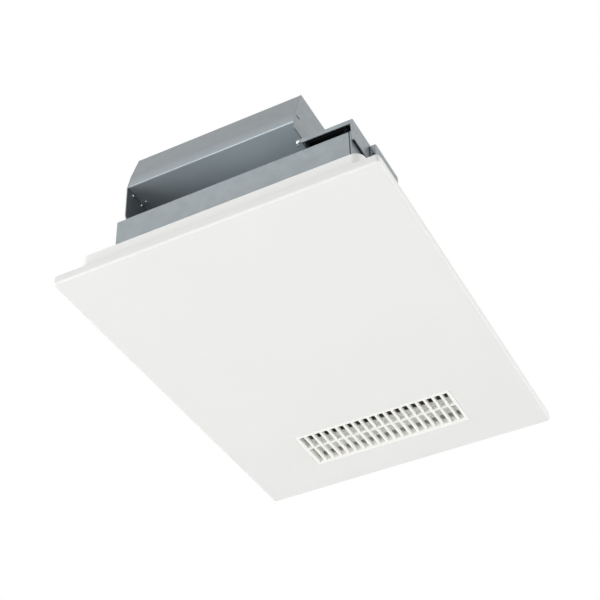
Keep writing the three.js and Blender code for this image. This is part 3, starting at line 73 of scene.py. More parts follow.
class Finish:
    """A node material around one Principled shader."""

    def __init__(self, name, constants):
        self.material = bpy.data.materials.new(name)
        self.material.use_nodes = True
        self.tree = self.material.node_tree
        self.shader = self.tree.nodes["Principled BSDF"]
        for socket, value in constants.items():
            self.shader.inputs[socket].default_value = value

    def node(self, kind, settings=None, inputs=None, output=0):
        """Adds a node: its settings first, then the values or links of its sockets."""
        made = self.tree.nodes.new(kind)
        for key, value in (settings or {}).items():
            setattr(made, key, value)
        for key, value in (inputs or {}).items():
            self.feed(made.inputs[key], value)
        return Amount(self, made.outputs[output])

    def feed(self, socket, value):
        if isinstance(value, Amount):
            self.tree.links.new(value.socket, socket)
        else:
            socket.default_value = value

    def drive(self, socket, value):
        self.feed(self.shader.inputs[socket], value)

    def place(self, scale=(1, 1, 1)):
        where = self.node("ShaderNodeTexCoord", output="Object")
        return self.node("ShaderNodeMapping", None, {"Vector": where, "Scale": scale})

    def noise(self, scale, detail=2, stretch=(1, 1, 1)):
        return self.node("ShaderNodeTexNoise", None,
                         {"Vector": self.place(stretch), "Scale": scale, "Detail": detail})

    def cells(self, scale):
        colour = self.node("ShaderNodeTexVoronoi", None,
                           {"Vector": self.place(), "Scale": scale}, "Color")
        return self.node("ShaderNodeSeparateColor", None, {0: colour})

    def blend(self, factor, first, second):
        return self.node("ShaderNodeMix", {"data_type": "RGBA", "clamp_factor": True},
                         {0: factor, 6: first, 7: second}, 2)

    def share(self, amount):
        """An amount held between 0 and 1."""
        return self.node("ShaderNodeClamp", None, {0: amount, 1: 0, 2: 1})

    def relief(self, height, strength, depth):
        self.drive("Normal", self.node("ShaderNodeBump", None,
                                       {"Height": height, "Strength": strength, "Distance": depth * MM}))


def colour(numbers):
    """A colour from its usual 0 to 255 numbers, as the shader wants it."""
    def straight(value):
        share = value / 255
        return share / 12.92 if share <= 0.04045 else ((share + 0.055) / 1.055) ** 2.4
    return (*map(straight, numbers), 1)


def moulded(name, light, dark, rough, grain, depth, shine=0.45):
    """Moulded plastic: faint cloudiness, a fine grain and slightly uneven gloss."""
    made = Finish(name, {"Specular IOR Level": shine})
    cloud = made.noise(9, 3)
    fine = made.noise(grain, 2)
    made.drive("Base Color", made.blend(cloud, colour(dark), colour(light)))
    made.drive("Roughness", rough + 0.12 * (fine - 0.5) + 0.10 * (cloud - 0.5))
    made.relief(fine + 0.3 * cloud, 0.35, depth)
    return made.material


# Where the hood's painted light, painted highlight and painted shade lie, in metres as Object coordinates
# are
PAINTED_LIGHT_BAND_TOP, PAINTED_LIGHT_BAND_FADE = 0.172, 0.020
PAINTED_HIGHLIGHT_FOLD_TOP, PAINTED_HIGHLIGHT_FOLD_FADE = 0.1512, 0.0012
PAINTED_SHADE_LEFT_END, PAINTED_SHADE_RAMP_LENGTH = -0.135, 0.17


def galvanised_sheet(name, light, dark, metal, rough, lip=None):
    """Hot-dip zinc sheet: fine spangle, faint rolling lines and soft stains.
    With a lip colour, light is painted on the hood: a paler band below the crease, and a painted highlight
    on the fold lip and recess ceiling that turns to painted shade towards the left."""
    made = Finish(name, {"Metallic": metal})
    spangle = made.cells(150)
    small = made.cells(420)
    rolled = made.noise(1, 3, (900, 30, 900))
    stain = made.noise(14, 4)
    tone = 0.30 * spangle + 0.15 * small + 0.25 * rolled + 0.45 * stain
    zinc = made.blend(made.share(tone - 0.08), colour(dark), colour(light))
    if lip:
        # Painted light on the hood: a paler band below the crease, and a painted highlight on the fold lip
        # and recess ceiling (on_fold) that is paler to the right and fades to painted shade towards the
        # left; lip is the colour of this painted light
        where = made.node("ShaderNodeTexCoord", output="Object")
        axes = made.node("ShaderNodeSeparateXYZ", None, {0: where}).socket.node.outputs
        along, height = Amount(made, axes[0]), Amount(made, axes[2])
        painted_light_below_crease = made.share((PAINTED_LIGHT_BAND_TOP - height) / PAINTED_LIGHT_BAND_FADE)
        on_fold = made.share((PAINTED_HIGHLIGHT_FOLD_TOP - height) / PAINTED_HIGHLIGHT_FOLD_FADE)
        painted_light_rightwards = made.share((along - PAINTED_SHADE_LEFT_END) / PAINTED_SHADE_RAMP_LENGTH)
        zinc = made.blend(0.22 * painted_light_below_crease + on_fold * (0.2 + 0.7 * painted_light_rightwards), zinc, colour(lip))
    made.drive("Base Color", zinc)
    made.drive("Roughness", rough + 0.12 * (spangle - 0.5) + 0.16 * (stain - 0.5))
    made.relief(0.5 * spangle + 0.2 * rolled + 0.5 * stain, 0.25, 0.05)
    return made.material


def plated_steel(name, light, dark, rough):
    """Zinc-plated steel: clean metal with a slightly uneven passivated film."""
    made = Finish(name, {"Metallic": 1.0})
    film = made.noise(60, 3)
    turned_lines = made.noise(1, 2, (200, 200, 2600))
    made.drive("Base Color", made.blend(film, colour(dark), colour(light)))
    made.drive("Roughness", rough + 0.16 * (film - 0.5) + 0.08 * (turned_lines - 0.5))
    made.relief(turned_lines + 0.4 * film, 0.2, 0.03)
    return made.material


ZINC_LOOK = (140, 147, 150), (124, 132, 136), 0.45, 0.36
FINISHES = {
    "white_panel": moulded("white_moulded_plastic", (239, 239, 237), (236, 236, 234), 0.55, 2600, 0.012),
    "white_grille": moulded("bright_white_plastic", (252, 252, 248), (250, 250, 246), 0.48, 2600, 0.01),
    "galvanised": galvanised_sheet("galvanised_sheet", *ZINC_LOOK),
    "bright_steel": plated_steel("zinc_plated_steel", (226, 228, 226), (208, 212, 212), 0.26),
    "dark_plastic": moulded("dark_moulded_plastic", (32, 34, 36), (25, 27, 29), 0.5, 1800, 0.03),
    "grey_plastic": moulded("grey_moulded_plastic", (112, 116, 118), (102, 106, 108), 0.5, 1800, 0.03),
    "circuit_green": moulded("green_circuit_board", (36, 98, 62), (26, 80, 50), 0.35, 900, 0.02),
    "heater_metal": plated_steel("heater_aluminium", (190, 190, 186), (168, 168, 166), 0.42),
    "rubber": moulded("black_rubber", (34, 34, 34), (26, 26, 26), 0.8, 1500, 0.03),
    "filter_mesh": moulded("filter_plastic", (186, 194, 200), (176, 184, 190), 0.55, 2000, 0.02),
}
# The base's white is paler than the panel's: painted light that makes up for the shade the panel casts on
# the base's rim
BASE_WHITE_PAINTED_LIGHT = moulded("white_base_plastic_painted_light", (250, 250, 248), (247, 247, 245), 0.5, 2600, 0.012)
# Matt black for the control box: partly its own dark plastic, partly painted shade that makes the slot in
# front of it read black
BOX_BLACK_AND_PAINTED_SHADE = moulded("matt_black_plastic_and_painted_shade", (20, 22, 23), (15, 17, 18), 0.7, 1800, 0.03, shine=0.1)
# The hood's zinc carries painted light below the crease and on the fold, and painted shade towards the
# recess's left end
HOOD_ZINC_PAINTED_LIGHT = galvanised_sheet("hood_galvanised_sheet_painted_light", *ZINC_LOOK, lip=(206, 219, 226))
DUCT_ZINC = galvanised_sheet("warm_duct_sheet", (212, 207, 198), (198, 193, 184), 0.35, 0.5)
BODY_OF = {node: name for name, nodes in frame["record"]["behaviour"]["bodies"].items() for node in nodes}
SLOT_OF = {part["node"]: part["material_slot"] for part in frame["record"]["subparts"]}


# Bench tools

def let_go():
    for obj in bpy.context.selected_objects:
        obj.select_set(False)


def take(obj):
    let_go()
    obj.select_set(True)
    bpy.context.view_layer.objects.active = obj
    return obj


def fixed(obj):
    """Puts a piece's place, turn and size in its mesh."""
    take(obj)
    bpy.ops.object.transform_apply(location=True, rotation=True, scale=True)
    return obj


def slab(x, y, z):
    """A block between two values along each axis, in millimetres."""
    middle = [MM * (low + high) / 2 for low, high in (x, y, z)]
    size = [MM * abs(high - low) for low, high in (x, y, z)]
    let_go()
    bpy.ops.mesh.primitive_cube_add(size=1, location=middle, scale=size)
    return fixed(bpy.context.object)


def about(centre, half):
    """The two values at a half width on either side of a centre."""
    return (centre - half, centre + half)


TURNS = {"x": (0, math.pi / 2, 0), "y": (-math.pi / 2, 0, 0), "z": (0, 0, 0)}


def bar(axis, radius, start, end, centre, sides=32):
    """A round bar along one axis; centre gives the other two coordinates in axis order."""
    middle = list(centre)
    middle.insert("xyz".index(axis), (start + end) / 2)
    let_go()
    bpy.ops.mesh.primitive_cylinder_add(vertices=sides, radius=radius * MM, depth=abs(end - start) * MM,
                                        location=[MM * value for value in middle], rotation=TURNS[axis])
    return fixed(bpy.context.object)


def finished_by(obj, kind, **settings):
    """Adds a modifier and applies it."""
    take(obj)
    step = obj.modifiers.new(kind.lower(), kind)
    for key, value in settings.items():
        setattr(step, key, value)
    bpy.ops.object.modifier_apply(modifier=step.name)
    return obj


def together(first, *others):
    """Puts several meshes in one piece without joining their walls."""
    if others:
        take(first)
        for obj in others:
            obj.select_set(True)
        bpy.ops.object.join()
    return first


def worked(obj, operation, tools):
    """Joins the tools and uses them on a piece in one step."""
    tool = together(*tools)
    finished_by(obj, "BOOLEAN", operation=operation, solver="EXACT", use_self=True, object=tool)
    bpy.data.objects.remove(tool)
    return obj


def cut_out(obj, *tools):
    return worked(obj, "DIFFERENCE", tools)


def fused(obj, *parts):
    return worked(obj, "UNION", parts)


def kept_within(obj, tool):
    return worked(obj, "INTERSECT", [tool])


def picked(obj, kind, test):
    """Opens edit mode with only the faces or edges that pass the test selected."""
    take(obj)
    bpy.ops.object.mode_set(mode="EDIT")
    bpy.ops.mesh.select_mode(type=kind)
    bpy.ops.mesh.select_all(action="DESELECT")
    bpy.ops.object.mode_set(mode="OBJECT")
    mesh = obj.data
    if kind == "FACE":
        for face in mesh.polygons:
            face.select = test(face.center / MM, face.normal)
    else:
        for edge in mesh.edges:
            first, second = (mesh.vertices[i].co / MM for i in edge.vertices)
            edge.select = test(first, second)
    bpy.ops.object.mode_set(mode="EDIT")


def put_down():
    bpy.ops.object.mode_set(mode="OBJECT")


def bevelled(obj, test, radius, segments):
    """Rounds the edges that pass the test."""
    picked(obj, "EDGE", test)
    bpy.ops.mesh.bevel(offset=radius * MM, segments=segments, affect="EDGES", clamp_overlap=False)
    put_down()
    return obj


def near_to(first, second):
    return abs(first - second) < 0.01


def upright(a, b):
    return near_to(a.x, b.x) and near_to(a.y, b.y)


def along_y(a, b):
    return near_to(a.x, b.x) and near_to(a.z, b.z)


def along_x(a, b):
    return near_to(a.y, b.y) and near_to(a.z, b.z)


def on_level(level):
    return lambda a, b: near_to(a.z, level) and near_to(b.z, level)


def on_fold(u, v):
    """A test for edges along X at one point of a folded line."""
    return lambda a, b: all(near_to(end.y, u) and near_to(end.z, v) for end in (a, b))


def rounded_slab(x, y, z, radius, segments):
    """A block with its four upright edges rounded."""
    return bevelled(slab(x, y, z), upright, radius, segments)


def strips_along_x(places, half, x, z):
    """Blocks that run along X, one about each place in Y."""
    return [slab(x, about(place, half), z) for place in places]


def strips_along_y(places, half, y, z):
    """Blocks that run along Y, one about each place in X."""
    return [slab(about(place, half), y, z) for place in places]


def bars(axis, radius, start, end, centres, sides):
    """Equal round bars, one at each centre."""
    return [bar(axis, radius, start, end, centre, sides) for centre in centres]


def grid(firsts, seconds):
    return [(first, second) for first in firsts for second in seconds]


def hollowed(obj, test, wall, depth):
    """Leaves a wall round the faces that pass the test and sinks them along Z."""
    picked(obj, "FACE", test)
    bpy.ops.mesh.inset(thickness=wall * MM)
    bpy.ops.mesh.extrude_region_move(TRANSFORM_OT_translate={"value": (0, 0, depth * MM)})
    put_down()
    return obj


def facing_up(centre, normal):
    return normal.z > 0.9


def facing_down(centre, normal):
    return normal.z < -0.9


def anything(*ends):
    return True


def clean(obj):
    """Merges doubled points and needless edges in flat faces."""
    picked(obj, "FACE", anything)
    bpy.ops.mesh.remove_doubles(threshold=0.002 * MM)
    bpy.ops.mesh.dissolve_limited(angle_limit=math.radians(0.5))
    bpy.ops.mesh.normals_make_consistent(inside=False)
    put_down()
    return obj


def smoothed(obj, angle=32):
    take(obj)
    bpy.ops.object.shade_smooth_by_angle(angle=math.radians(angle))
    return obj


def softened(obj, radius, segments=2, angle=35):
    """Rounds every sharp edge a little and shades the piece."""
    finished_by(obj, "BEVEL", width=radius * MM, segments=segments, limit_method="ANGLE",
                angle_limit=math.radians(angle), use_clamp_overlap=True)
    return smoothed(obj)


def evenly_shaded(obj):
    """Lets large flat faces set the shading at their rounded edges."""
    return finished_by(obj, "WEIGHTED_NORMAL", weight=50, keep_sharp=True)


RUNS = {
    "x": Matrix.Identity(4),
    "y": Matrix.Rotation(math.pi / 2, 4, "Z"),
    "z": Matrix(((0, 1, 0, 0), (0, 0, 1, 0), (1, 0, 0, 0), (0, 0, 0, 1))),
}


def thin_strip(line, span, mirror=1):
    """A strip without thickness, run along X and extruded from point to point in Y and Z."""
    points = [(mirror * u * MM, v * MM) for u, v in line]
    ends = (span[0] * MM, span[1] * MM)
    (u0, v0), (u1, v1) = points[:2]
    let_go()
    bpy.ops.mesh.primitive_plane_add(
        size=1, location=((ends[0] + ends[1]) / 2, (u0 + u1) / 2, (v0 + v1) / 2),
        rotation=(math.atan2(v1 - v0, u1 - u0), 0, 0))
    obj = bpy.context.object
    obj.scale = (ends[1] - ends[0], math.hypot(u1 - u0, v1 - v0), 1)
    fixed(obj)
    for (ua, va), (ub, vb) in zip(points[1:], points[2:]):
        picked(obj, "EDGE", on_fold(ua / MM, va / MM))
        bpy.ops.mesh.extrude_edges_move(TRANSFORM_OT_translate={"value": (0, ub - ua, vb - va)})
        put_down()
    return obj


def thickened(obj, thickness, offset):
    """Gives a strip its wall, with the faces outwards."""
    finished_by(obj, "SOLIDIFY", thickness=thickness * MM, offset=offset, use_even_offset=True)
    picked(obj, "FACE", anything)
    bpy.ops.mesh.normals_make_consistent(inside=False)
    put_down()
    return obj


def folded(line, span, run="x", bend=1.0, thickness=SHEET):
    """Sheet metal folded along a line of points, with its outer face on the left of the line.
    The line is in Y and Z where it runs along X, in X and Z along Y, and in X and Y along Z."""
    mirror = -1 if run == "y" else 1
    obj = thin_strip(line, span, mirror)
    folds = [(mirror * u, v) for u, v in line[1:-1]]
    if folds and bend:
        picked(obj, "EDGE", lambda a, b: any(on_fold(u, v)(a, b) for u, v in folds))
        bpy.ops.mesh.bevel(offset=bend * MM, segments=4, affect="EDGES")
        put_down()
    obj.matrix_world = RUNS[run]
    fixed(obj)
    return thickened(obj, thickness, -mirror)


def turned(pairs, sides=64, closed=False):
    """A round piece about Z from radius and height pairs; closed joins the last pair to the first."""
    radius, height = pairs[0]
    let_go()
    bpy.ops.mesh.primitive_circle_add(vertices=sides, radius=radius * MM, location=(0, 0, height * MM))
    obj = fixed(bpy.context.object)
    picked(obj, "EDGE", anything)
    if not closed:
        bpy.ops.mesh.edge_face_add()
        bpy.ops.mesh.select_mode(type="EDGE")
    track = pairs[1:] + pairs[:1] if closed else pairs[1:]
    for next_radius, next_height in track:
        bpy.ops.mesh.extrude_edges_move(
            TRANSFORM_OT_translate={"value": (0, 0, (next_height - height) * MM)})
        if abs(next_radius - radius) > 1e-6:
            scale = next_radius / radius
            bpy.ops.transform.resize(value=(scale, scale, 1), center_override=(0, 0, next_height * MM))
        radius, height = next_radius, next_height
    if not closed:
        bpy.ops.mesh.edge_face_add()
    bpy.ops.mesh.select_all(action="SELECT")
    bpy.ops.mesh.remove_doubles(threshold=0.001 * MM)
    bpy.ops.mesh.normals_make_consistent(inside=False)
    put_down()
    return obj


def from_outline(outline, low, high):
    """A flat plate cut to an outline of X and Y points, between two levels."""
    curve = bpy.data.curves.new("outline", "CURVE")
    curve.dimensions = "2D"
    curve.fill_mode = "BOTH"
    curve.extrude = MM * (high - low) / 2
    spline = curve.splines.new("POLY")
    spline.points.add(len(outline) - 1)
    for point, (x, y) in zip(spline.points, outline):
        point.co = (x * MM, y * MM, 0, 1)
    spline.use_cyclic_u = True
    drawn = bpy.data.objects.new("outline", curve)
    bpy.context.scene.collection.objects.link(drawn)
    take(drawn)
    bpy.ops.object.convert(target="MESH")
    obj = bpy.context.object
    obj.location.z = MM * (low + high) / 2
    return clean(fixed(obj))


def moved(obj, place, turn=(0, 0, 0)):
    """Turns a piece that was made at the origin, then moves it to its place in millimetres."""
    obj.rotation_euler = turn
    obj.location = [MM * value for value in place]
    return fixed(obj)


def copied(obj):
    """A second piece like the first, with its own mesh."""
    twin = obj.copy()
    twin.data = obj.data.copy()
    bpy.context.scene.collection.objects.link(twin)
    return twin


def copies(pattern, spots):
    """Copies of a piece at each place and turn; the pattern itself is thrown away."""
    made = [moved(copied(pattern), place, turn) for place, turn in spots]
    bpy.data.objects.remove(pattern)
    return made


def turned_copies(pattern, count):
    """Copies of a piece all round the Z axis."""
    return copies(pattern, [((0, 0, 0), (0, 0, 2 * math.pi * i / count)) for i in range(count)])


def in_a_row(obj, count, step, **settings):
    """Repeats a piece in a row, a step in millimetres apart."""
    return finished_by(obj, "ARRAY", count=count, use_relative_offset=False, use_constant_offset=True,
                       constant_offset_displace=[MM * value for value in step], **settings)


def on_circle(radius, angle):
    return (radius * math.cos(angle), radius * math.sin(angle))


def cross_cut(obj, reach, half_width, levels):
    """Cuts a cross recess."""
    for half_x, half_y in ((reach, half_width), (half_width, reach)):
        cut_out(obj, slab(about(0, half_x), about(0, half_y), levels))
    return obj


def mounted(obj, name, body, slot, material=None):
    """Names a finished piece, gives it its finish and lets it ride on its body."""
    obj.name = name
    obj.data.name = name
    obj.data.materials.clear()
    obj.data.materials.append(material or FINISHES[slot])
    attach(obj, body)


def fitted(obj, node, material=None):
    """Mounts a finished piece and lets it stand for its CAD node."""
    mounted(evenly_shaded(obj), node + ".fine", BODY_OF[node], SLOT_OF[node], material)
    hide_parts(node)


def dressed(obj, node, radius=0.18, segments=1, angle=50, material=None):
    """Cleans a cut piece, rounds its edges and fits it."""
    fitted(softened(clean(obj), radius, segments, angle), node, material)


# Front panel and grille

PANEL_X, PANEL_Y, PANEL_DEPTH, PANEL_SKIN = 185, 244.5, 10, 2.5
GRILLE_X, GRILLE_Y = 2.35, 161
PIVOT_NEAR, PIVOT_FAR, PIVOT_Z = 178, 190.5, 17
CRANK_LEAN, CRANK_REACH = 0.57, 8
FIELD_X, FIELD_Y = 95.35, 29


def make_front_panel():
    """Panel with rounded corners, stiffening ribs behind and the walled window of the grille."""
    panel = rounded_slab(about(0, PANEL_X), about(0, PANEL_Y), (0, PANEL_DEPTH), 4, 6)
    bevelled(panel, on_level(0), 2.4, 5)
    hollowed(panel, facing_up, 2.5, PANEL_SKIN - PANEL_DEPTH)
    window_x, window_y = FIELD_X + 4.6, FIELD_Y + 4.6
    wall = 1.8
    extras = [slab(about(GRILLE_X, window_x + wall), about(GRILLE_Y, window_y + wall), (1.2, 7.5))]
    extras += strips_along_x((-112.5, 37.5), 1, (-183.5, 183.5), (1.25, 7.5))
    extras += strips_along_y((-150, 150), 1, (-243, 243), (1.25, 7.5))
    fused(panel, *extras)
    cut_out(panel, slab(about(GRILLE_X, window_x), about(GRILLE_Y, window_y), (-5, 20)))
    dressed(panel, "front_panel", 0.35, 2)


def make_grille():
    """Grille with a flange against the panel, 18 fins and one long rib nearer than the middle."""
    flange_x, flange_y = FIELD_X + 4.35, FIELD_Y + 4.35
    grille = slab(about(0, flange_x), about(0, flange_y), (0, 2.2))
    fused(grille, slab(about(0, FIELD_X + 1.6), about(0, FIELD_Y + 1.6), (0.5, 8.3)))
    cut_out(grille, slab(about(0, FIELD_X), about(0, FIELD_Y), (-2, 12)))
    fins = 18
    pitch = 2 * FIELD_X / (fins - 1 + 1.5)
    half_fin, fin_depth = 1.4, 5.5
    places = [(i - (fins - 1) / 2) * pitch for i in range(fins)]
    rib = slab(about(0, FIELD_X + 0.8), (-4.6, -2.6), (0, fin_depth))
    fused(grille, rib, *strips_along_y(places, half_fin, about(0, FIELD_Y + 0.8), (0, fin_depth)))
    moved(grille, (GRILLE_X, GRILLE_Y, 0))
    dressed(grille, "outlet_grille", 0.3, 2, 35)


def pin(radius, start, end, centre, sides=32, soft=0.25, axis="x"):
    """A round pin with softened ends."""
    return softened(bar(axis, radius, start, end, centre, sides), soft)


def crank_eye(pivot_y):
    """Where a vane's crank carries the link."""
    return (pivot_y - CRANK_REACH * math.sin(CRANK_LEAN), PIVOT_Z + CRANK_REACH * math.cos(CRANK_LEAN))


def make_vane(node, pivot_y, chord, drop, right_pin):
    """Louvre vane with rounded blade, hinge barrel, end pins and crank."""
    left, right = -96.5, 101.2
    crank_inside, crank_outside = -100.3, -102.5
    pivot, eye = (pivot_y, PIVOT_Z), crank_eye(pivot_y)
    blade = slab((left + 0.2, right - 0.2), (pivot_y - chord, pivot_y), about(PIVOT_Z, 0.8))
    picked(blade, "FACE", lambda centre, normal: normal.y < -0.9)
    bpy.ops.transform.translate(value=(0, 0, -(drop - 0.8) * MM))
    put_down()
    softened(blade, 0.6, 3)
    arm = softened(slab((crank_outside + 0.1, crank_inside - 0.1), (-2.2, 2.2), (0, CRANK_REACH)), 0.25)
    moved(arm, (0, *pivot), (CRANK_LEAN, 0, 0))
    parts = [arm, pin(2.6, crank_outside, crank_inside, pivot), pin(2.6, crank_outside, crank_inside, eye),
             pin(2.2, left, right, pivot), pin(1.5, crank_inside - 1.1, right + right_pin, pivot, 24, 0.3),
             pin(1.1, -105.1, -100.6, eye, 24)]
    fitted(together(blade, *parts), node)


# Panel base

BASE_X, BASE_Y, BASE_UNDER, CEILING = 163, 232.5, 20, 37
BOSS_X, BOSS_Y = 133.5, 188
ARM_X, ARM_ENDS = 118, {"near": -150, "far": 95}
FILTER_X, FILTER_NEAR, FILTER_FAR, FILTER_UNDER, FILTER_TOP = 106, -194, 96, 14.8, 18.8


def make_panel_base():
    """Base tray with screw bosses, filter rails, ribs and its two openings."""
    base = rounded_slab(about(0, BASE_X), about(0, BASE_Y), (BASE_UNDER, CEILING), 12, 8)
    bevelled(base, lambda a, b: on_level(BASE_UNDER)(a, b) or on_level(CEILING)(a, b), 1.5, 3)
    hollowed(base, lambda centre, normal: normal.z > 0.9 and centre.z > CEILING - 0.1, 1.2, -14.5)
    bosses, holes = [], []
    for side in (-1, 1):
        centres = grid((side * BOSS_X,), (-BOSS_Y, BOSS_Y))
        bosses += bars("z", 4.5, 21, 36.7, centres, 24)
        holes += bars("z", 2.15, 10, 45, centres, 16)
        bosses.append(slab((side * 106.3, side * 108.3), (FILTER_NEAR, 96.3), (13.3, 21.2)))
        bosses.append(slab((side * 103.3, side * 108.3), (FILTER_NEAR, 96.3), (13.3, 14.5)))
        for y in ARM_ENDS.values():
            holes.append(slab(about(side * ARM_X, 3.2), about(y, 7.2), (10, 30)))
    bosses.append(slab((-53, 53), (96.3, 98.3), (13.3, 21.2)))
    for x in ((-161.5, -125.5), (125.5, 161.5)):
        bosses += strips_along_x((-170, -60, 60, 110), 0.8, x, (21.5, 29))
    for y in ((-231, -196), (209.5, 231)):
        bosses += strips_along_y((-70, 0, 70), 0.8, y, (21.5, 29))
    fused(base, *bosses)
    holes.append(slab((-100, 100), (-188, 90), (15, 28)))
    holes.append(slab((-110, 122.7), (133.5, 201.95), (15, 28)))
    cut_out(base, *holes)
    # The base gets the paler white, painted light for the shade the panel casts on it
    dressed(base, "panel_base", 0.3, 2, material=BASE_WHITE_PAINTED_LIGHT)


# Sheet-metal body

NEAR, FAR = -202, 201
FRAME_X, FRAME_TOP = 141, 103
RECESS_Y = -141
DECK, RECESS_TOP, CREASE, HOOD_TOP = 119.5, 149.5, 171, 210
HOOD_LEFT, HOOD_RIGHT = -129, 77
SKIRT_X = 144.4
PLATE_UNDER, CHAMBER_FLOOR, CHAMBER_TOP = 103.3, 104.8, 208.5
HOOD_INSIDE = (-128.7, 76.7)
FAR_WALL, RECESS_WALL = (FAR - SHEET, FAR), (RECESS_Y, RECESS_Y + SHEET)
SIDE_SCREWS, FOLD_SCREW = ((-190.8, 146.5), (-173.4, 146.5)), (-123.5, -173.5)
FAN_X, FAN_Y = -20, -50
PORT_X, PORT_Z = -26, 157
FOLD, CREASE_POINT, TOP_POINT = (-202.5, RECESS_TOP), (-197, CREASE), (-183, HOOD_TOP)


def make_near_end_plate():
    """Flat strip with a fold below and one above, notched round its neighbours."""
    plate = folded([(NEAR + 14, CEILING), (NEAR, CEILING), (NEAR, FRAME_TOP), (RECESS_Y + SHEET, FRAME_TOP)],
                   (-139.5, 138.4), bend=1.2)
    cut_out(plate,
            slab((-150, -125.5), (NEAR + 1.3, -180), (36, 39)),
            slab((124.4, 150), (NEAR + 1.3, -180), (36, 39)),
            slab((-150, -130), (NEAR - 3, -130), (101.8, 104)),
            slab((-150, -130), (NEAR + 1.3, -130), (100, 104)),
            slab((83.2, 150), (NEAR + 3.5, -130), (100, 104)))
    dressed(plate, "near_end_plate")


def make_frame_side(side):
    """Side wall with its toe below and a fold at each end."""
    wall = FRAME_X * side
    toe = (FRAME_X - 14) * side
    line = [(toe, CEILING), (wall, CEILING), (wall, FRAME_TOP)]
    if side > 0:
        line = line[::-1]
    near = NEAR if side > 0 else NEAR + 1.5
    frame_side = folded(line, (near, FAR - 1.5), run="y", bend=1.2)
    folds = []
    for low, high in ((NEAR + 1.5, NEAR + 2.7), (FAR - 2.7, FAR - 1.5)):
        folds.append(slab((side * 129, side * 140.4), (low, high), (CEILING, FRAME_TOP - 1.5)))
    fused(frame_side, *folds)
    cuts = bars("z", 2.15, 30, 45, grid((side * BOSS_X,), (-BOSS_Y, BOSS_Y)), 16)
    if side > 0:
        cuts.append(slab((120, 139.6), (NEAR - 1, NEAR + 14.3), (36, 38.4)))
    cut_out(frame_side, *cuts)
    dressed(frame_side, "frame_side_right" if side > 0 else "frame_side_left")


def slanted_front(plate):
    """Trims a standing plate along the hood's two slanted front lines."""
    for (y0, z0), (y1, z1) in ((FOLD, CREASE_POINT), (CREASE_POINT, TOP_POINT)):
        picked(plate, "FACE", anything)
        normal = Vector((0, -(z1 - z0), y1 - y0)).normalized()
        bpy.ops.mesh.bisect(plane_co=(0, y0 * MM, z0 * MM), plane_no=normal, use_fill=True,
                            clear_outer=True)
        put_down()
    return plate


def make_hood_shell():
    """Hood sheet with its folded lower edge, creased slanted front and flat top."""
    shell = folded([(RECESS_Y + SHEET, RECESS_TOP), FOLD, CREASE_POINT, TOP_POINT, (FAR, HOOD_TOP)],
                   (HOOD_LEFT + 0.03, HOOD_RIGHT - 0.03), bend=1.4)
    cut_out(shell, bar("z", 1.55, 140, 160, FOLD_SCREW, 16))
    # The hood's finish has painted light on its lower band and fold, and painted shade towards the left of
    # the recess ceiling
    dressed(shell, "hood_shell", 0.15, material=HOOD_ZINC_PAINTED_LIGHT)


def make_hood_side_left():
    """Hood end plate with its lower corner rounded and two screw holes."""
    plate = slab((HOOD_LEFT - SHEET, HOOD_LEFT), (-202.8, FAR), (PLATE_UNDER, HOOD_TOP))
    bevelled(plate, lambda a, b: on_level(PLATE_UNDER)(a, b) and max(a.y, b.y) < -202, 6, 6)
    slanted_front(plate)
    cut_out(plate, slab((-135, -120), (RECESS_Y + SHEET, 205), (100, CHAMBER_FLOOR)),
            *bars("x", 1.55, -135, -120, SIDE_SCREWS, 16))
    dressed(plate, "hood_side_left", 0.2)


def make_hood_side_right():
    """Hood end plate, notched over the front rail and with one slot."""
    plate = slab((HOOD_RIGHT, HOOD_RIGHT + SHEET), (-202.5, FAR), (CHAMBER_FLOOR, HOOD_TOP))
    slanted_front(plate)
    cut_out(plate, slab((70, 85), (-210, -139.5), (100, 139.5)),
            slab((70, 85), (-196.8, -189.8), (163, 166)))
    dressed(plate, "hood_side_right", 0.2)


def make_casing_right():
    """Low roof at the right with its skirt, front rail and far end."""
    casing = folded([(SKIRT_X, 90), (SKIRT_X, DECK), (78.5, DECK)][::-1], (NEAR, FAR), run="y", bend=1.2)
    cut_out(casing, slab((70, 83.5), (-210, -139.5), (110, 125)))
    edge, roof, near_wall = SKIRT_X - 0.2, DECK - 0.2, (NEAR, NEAR + SHEET)
    fused(casing,
          slab((82.3, edge), near_wall, (114, roof)),
          slab((79.5, 83.5), near_wall, (111.5, roof)),
          slab((141.3, edge), near_wall, (90, roof)),
          slab((78.5, edge), FAR_WALL, (PLATE_UNDER, roof)))
    dressed(casing, "casing_right")


def make_bracket(node, side, end):
    """Hanger bracket: a pressed channel with one closed, rounded end and two screw holes."""
    inner = 144.7 if side > 0 else -141.3
    outer = inner + side * 6.4
    top = 117 if side > 0 else 100.5
    middle, half_length = end * 133.5, side * 29.5
    near, far = middle - half_length, middle + half_length

    def rounded_channel(inset, overrun, radius):
        block = slab((inner + side * inset, outer - side * inset),
                     (near + side * inset, far + side * overrun), (top - 20 - overrun, top - inset))
        closed_end = near + side * inset
        return bevelled(block, lambda a, b: on_level(top - inset)(a, b) and along_x(a, b)
                        and near_to(a.y, closed_end), radius, 6)

    bracket = rounded_channel(0, 0, 5)
    softened(bracket, 0.5, 3)
    side_hole = bar("x", 3, inner + side * 2, outer + side * 3, (near + side * 13, top - 11), 28)
    end_hole = bar("y", 1.25, near - side * 2, near + side * 3, (outer - side * 2.5, top - 15.5), 20)
    cut_out(bracket, rounded_channel(SHEET, 5, 3.8))
    cut_out(bracket, side_hole)
    cut_out(bracket, end_hole)
    fitted(smoothed(clean(bracket)), node)


# Guide arms, filter and screws

SIDES = {"left": -1, "right": 1}


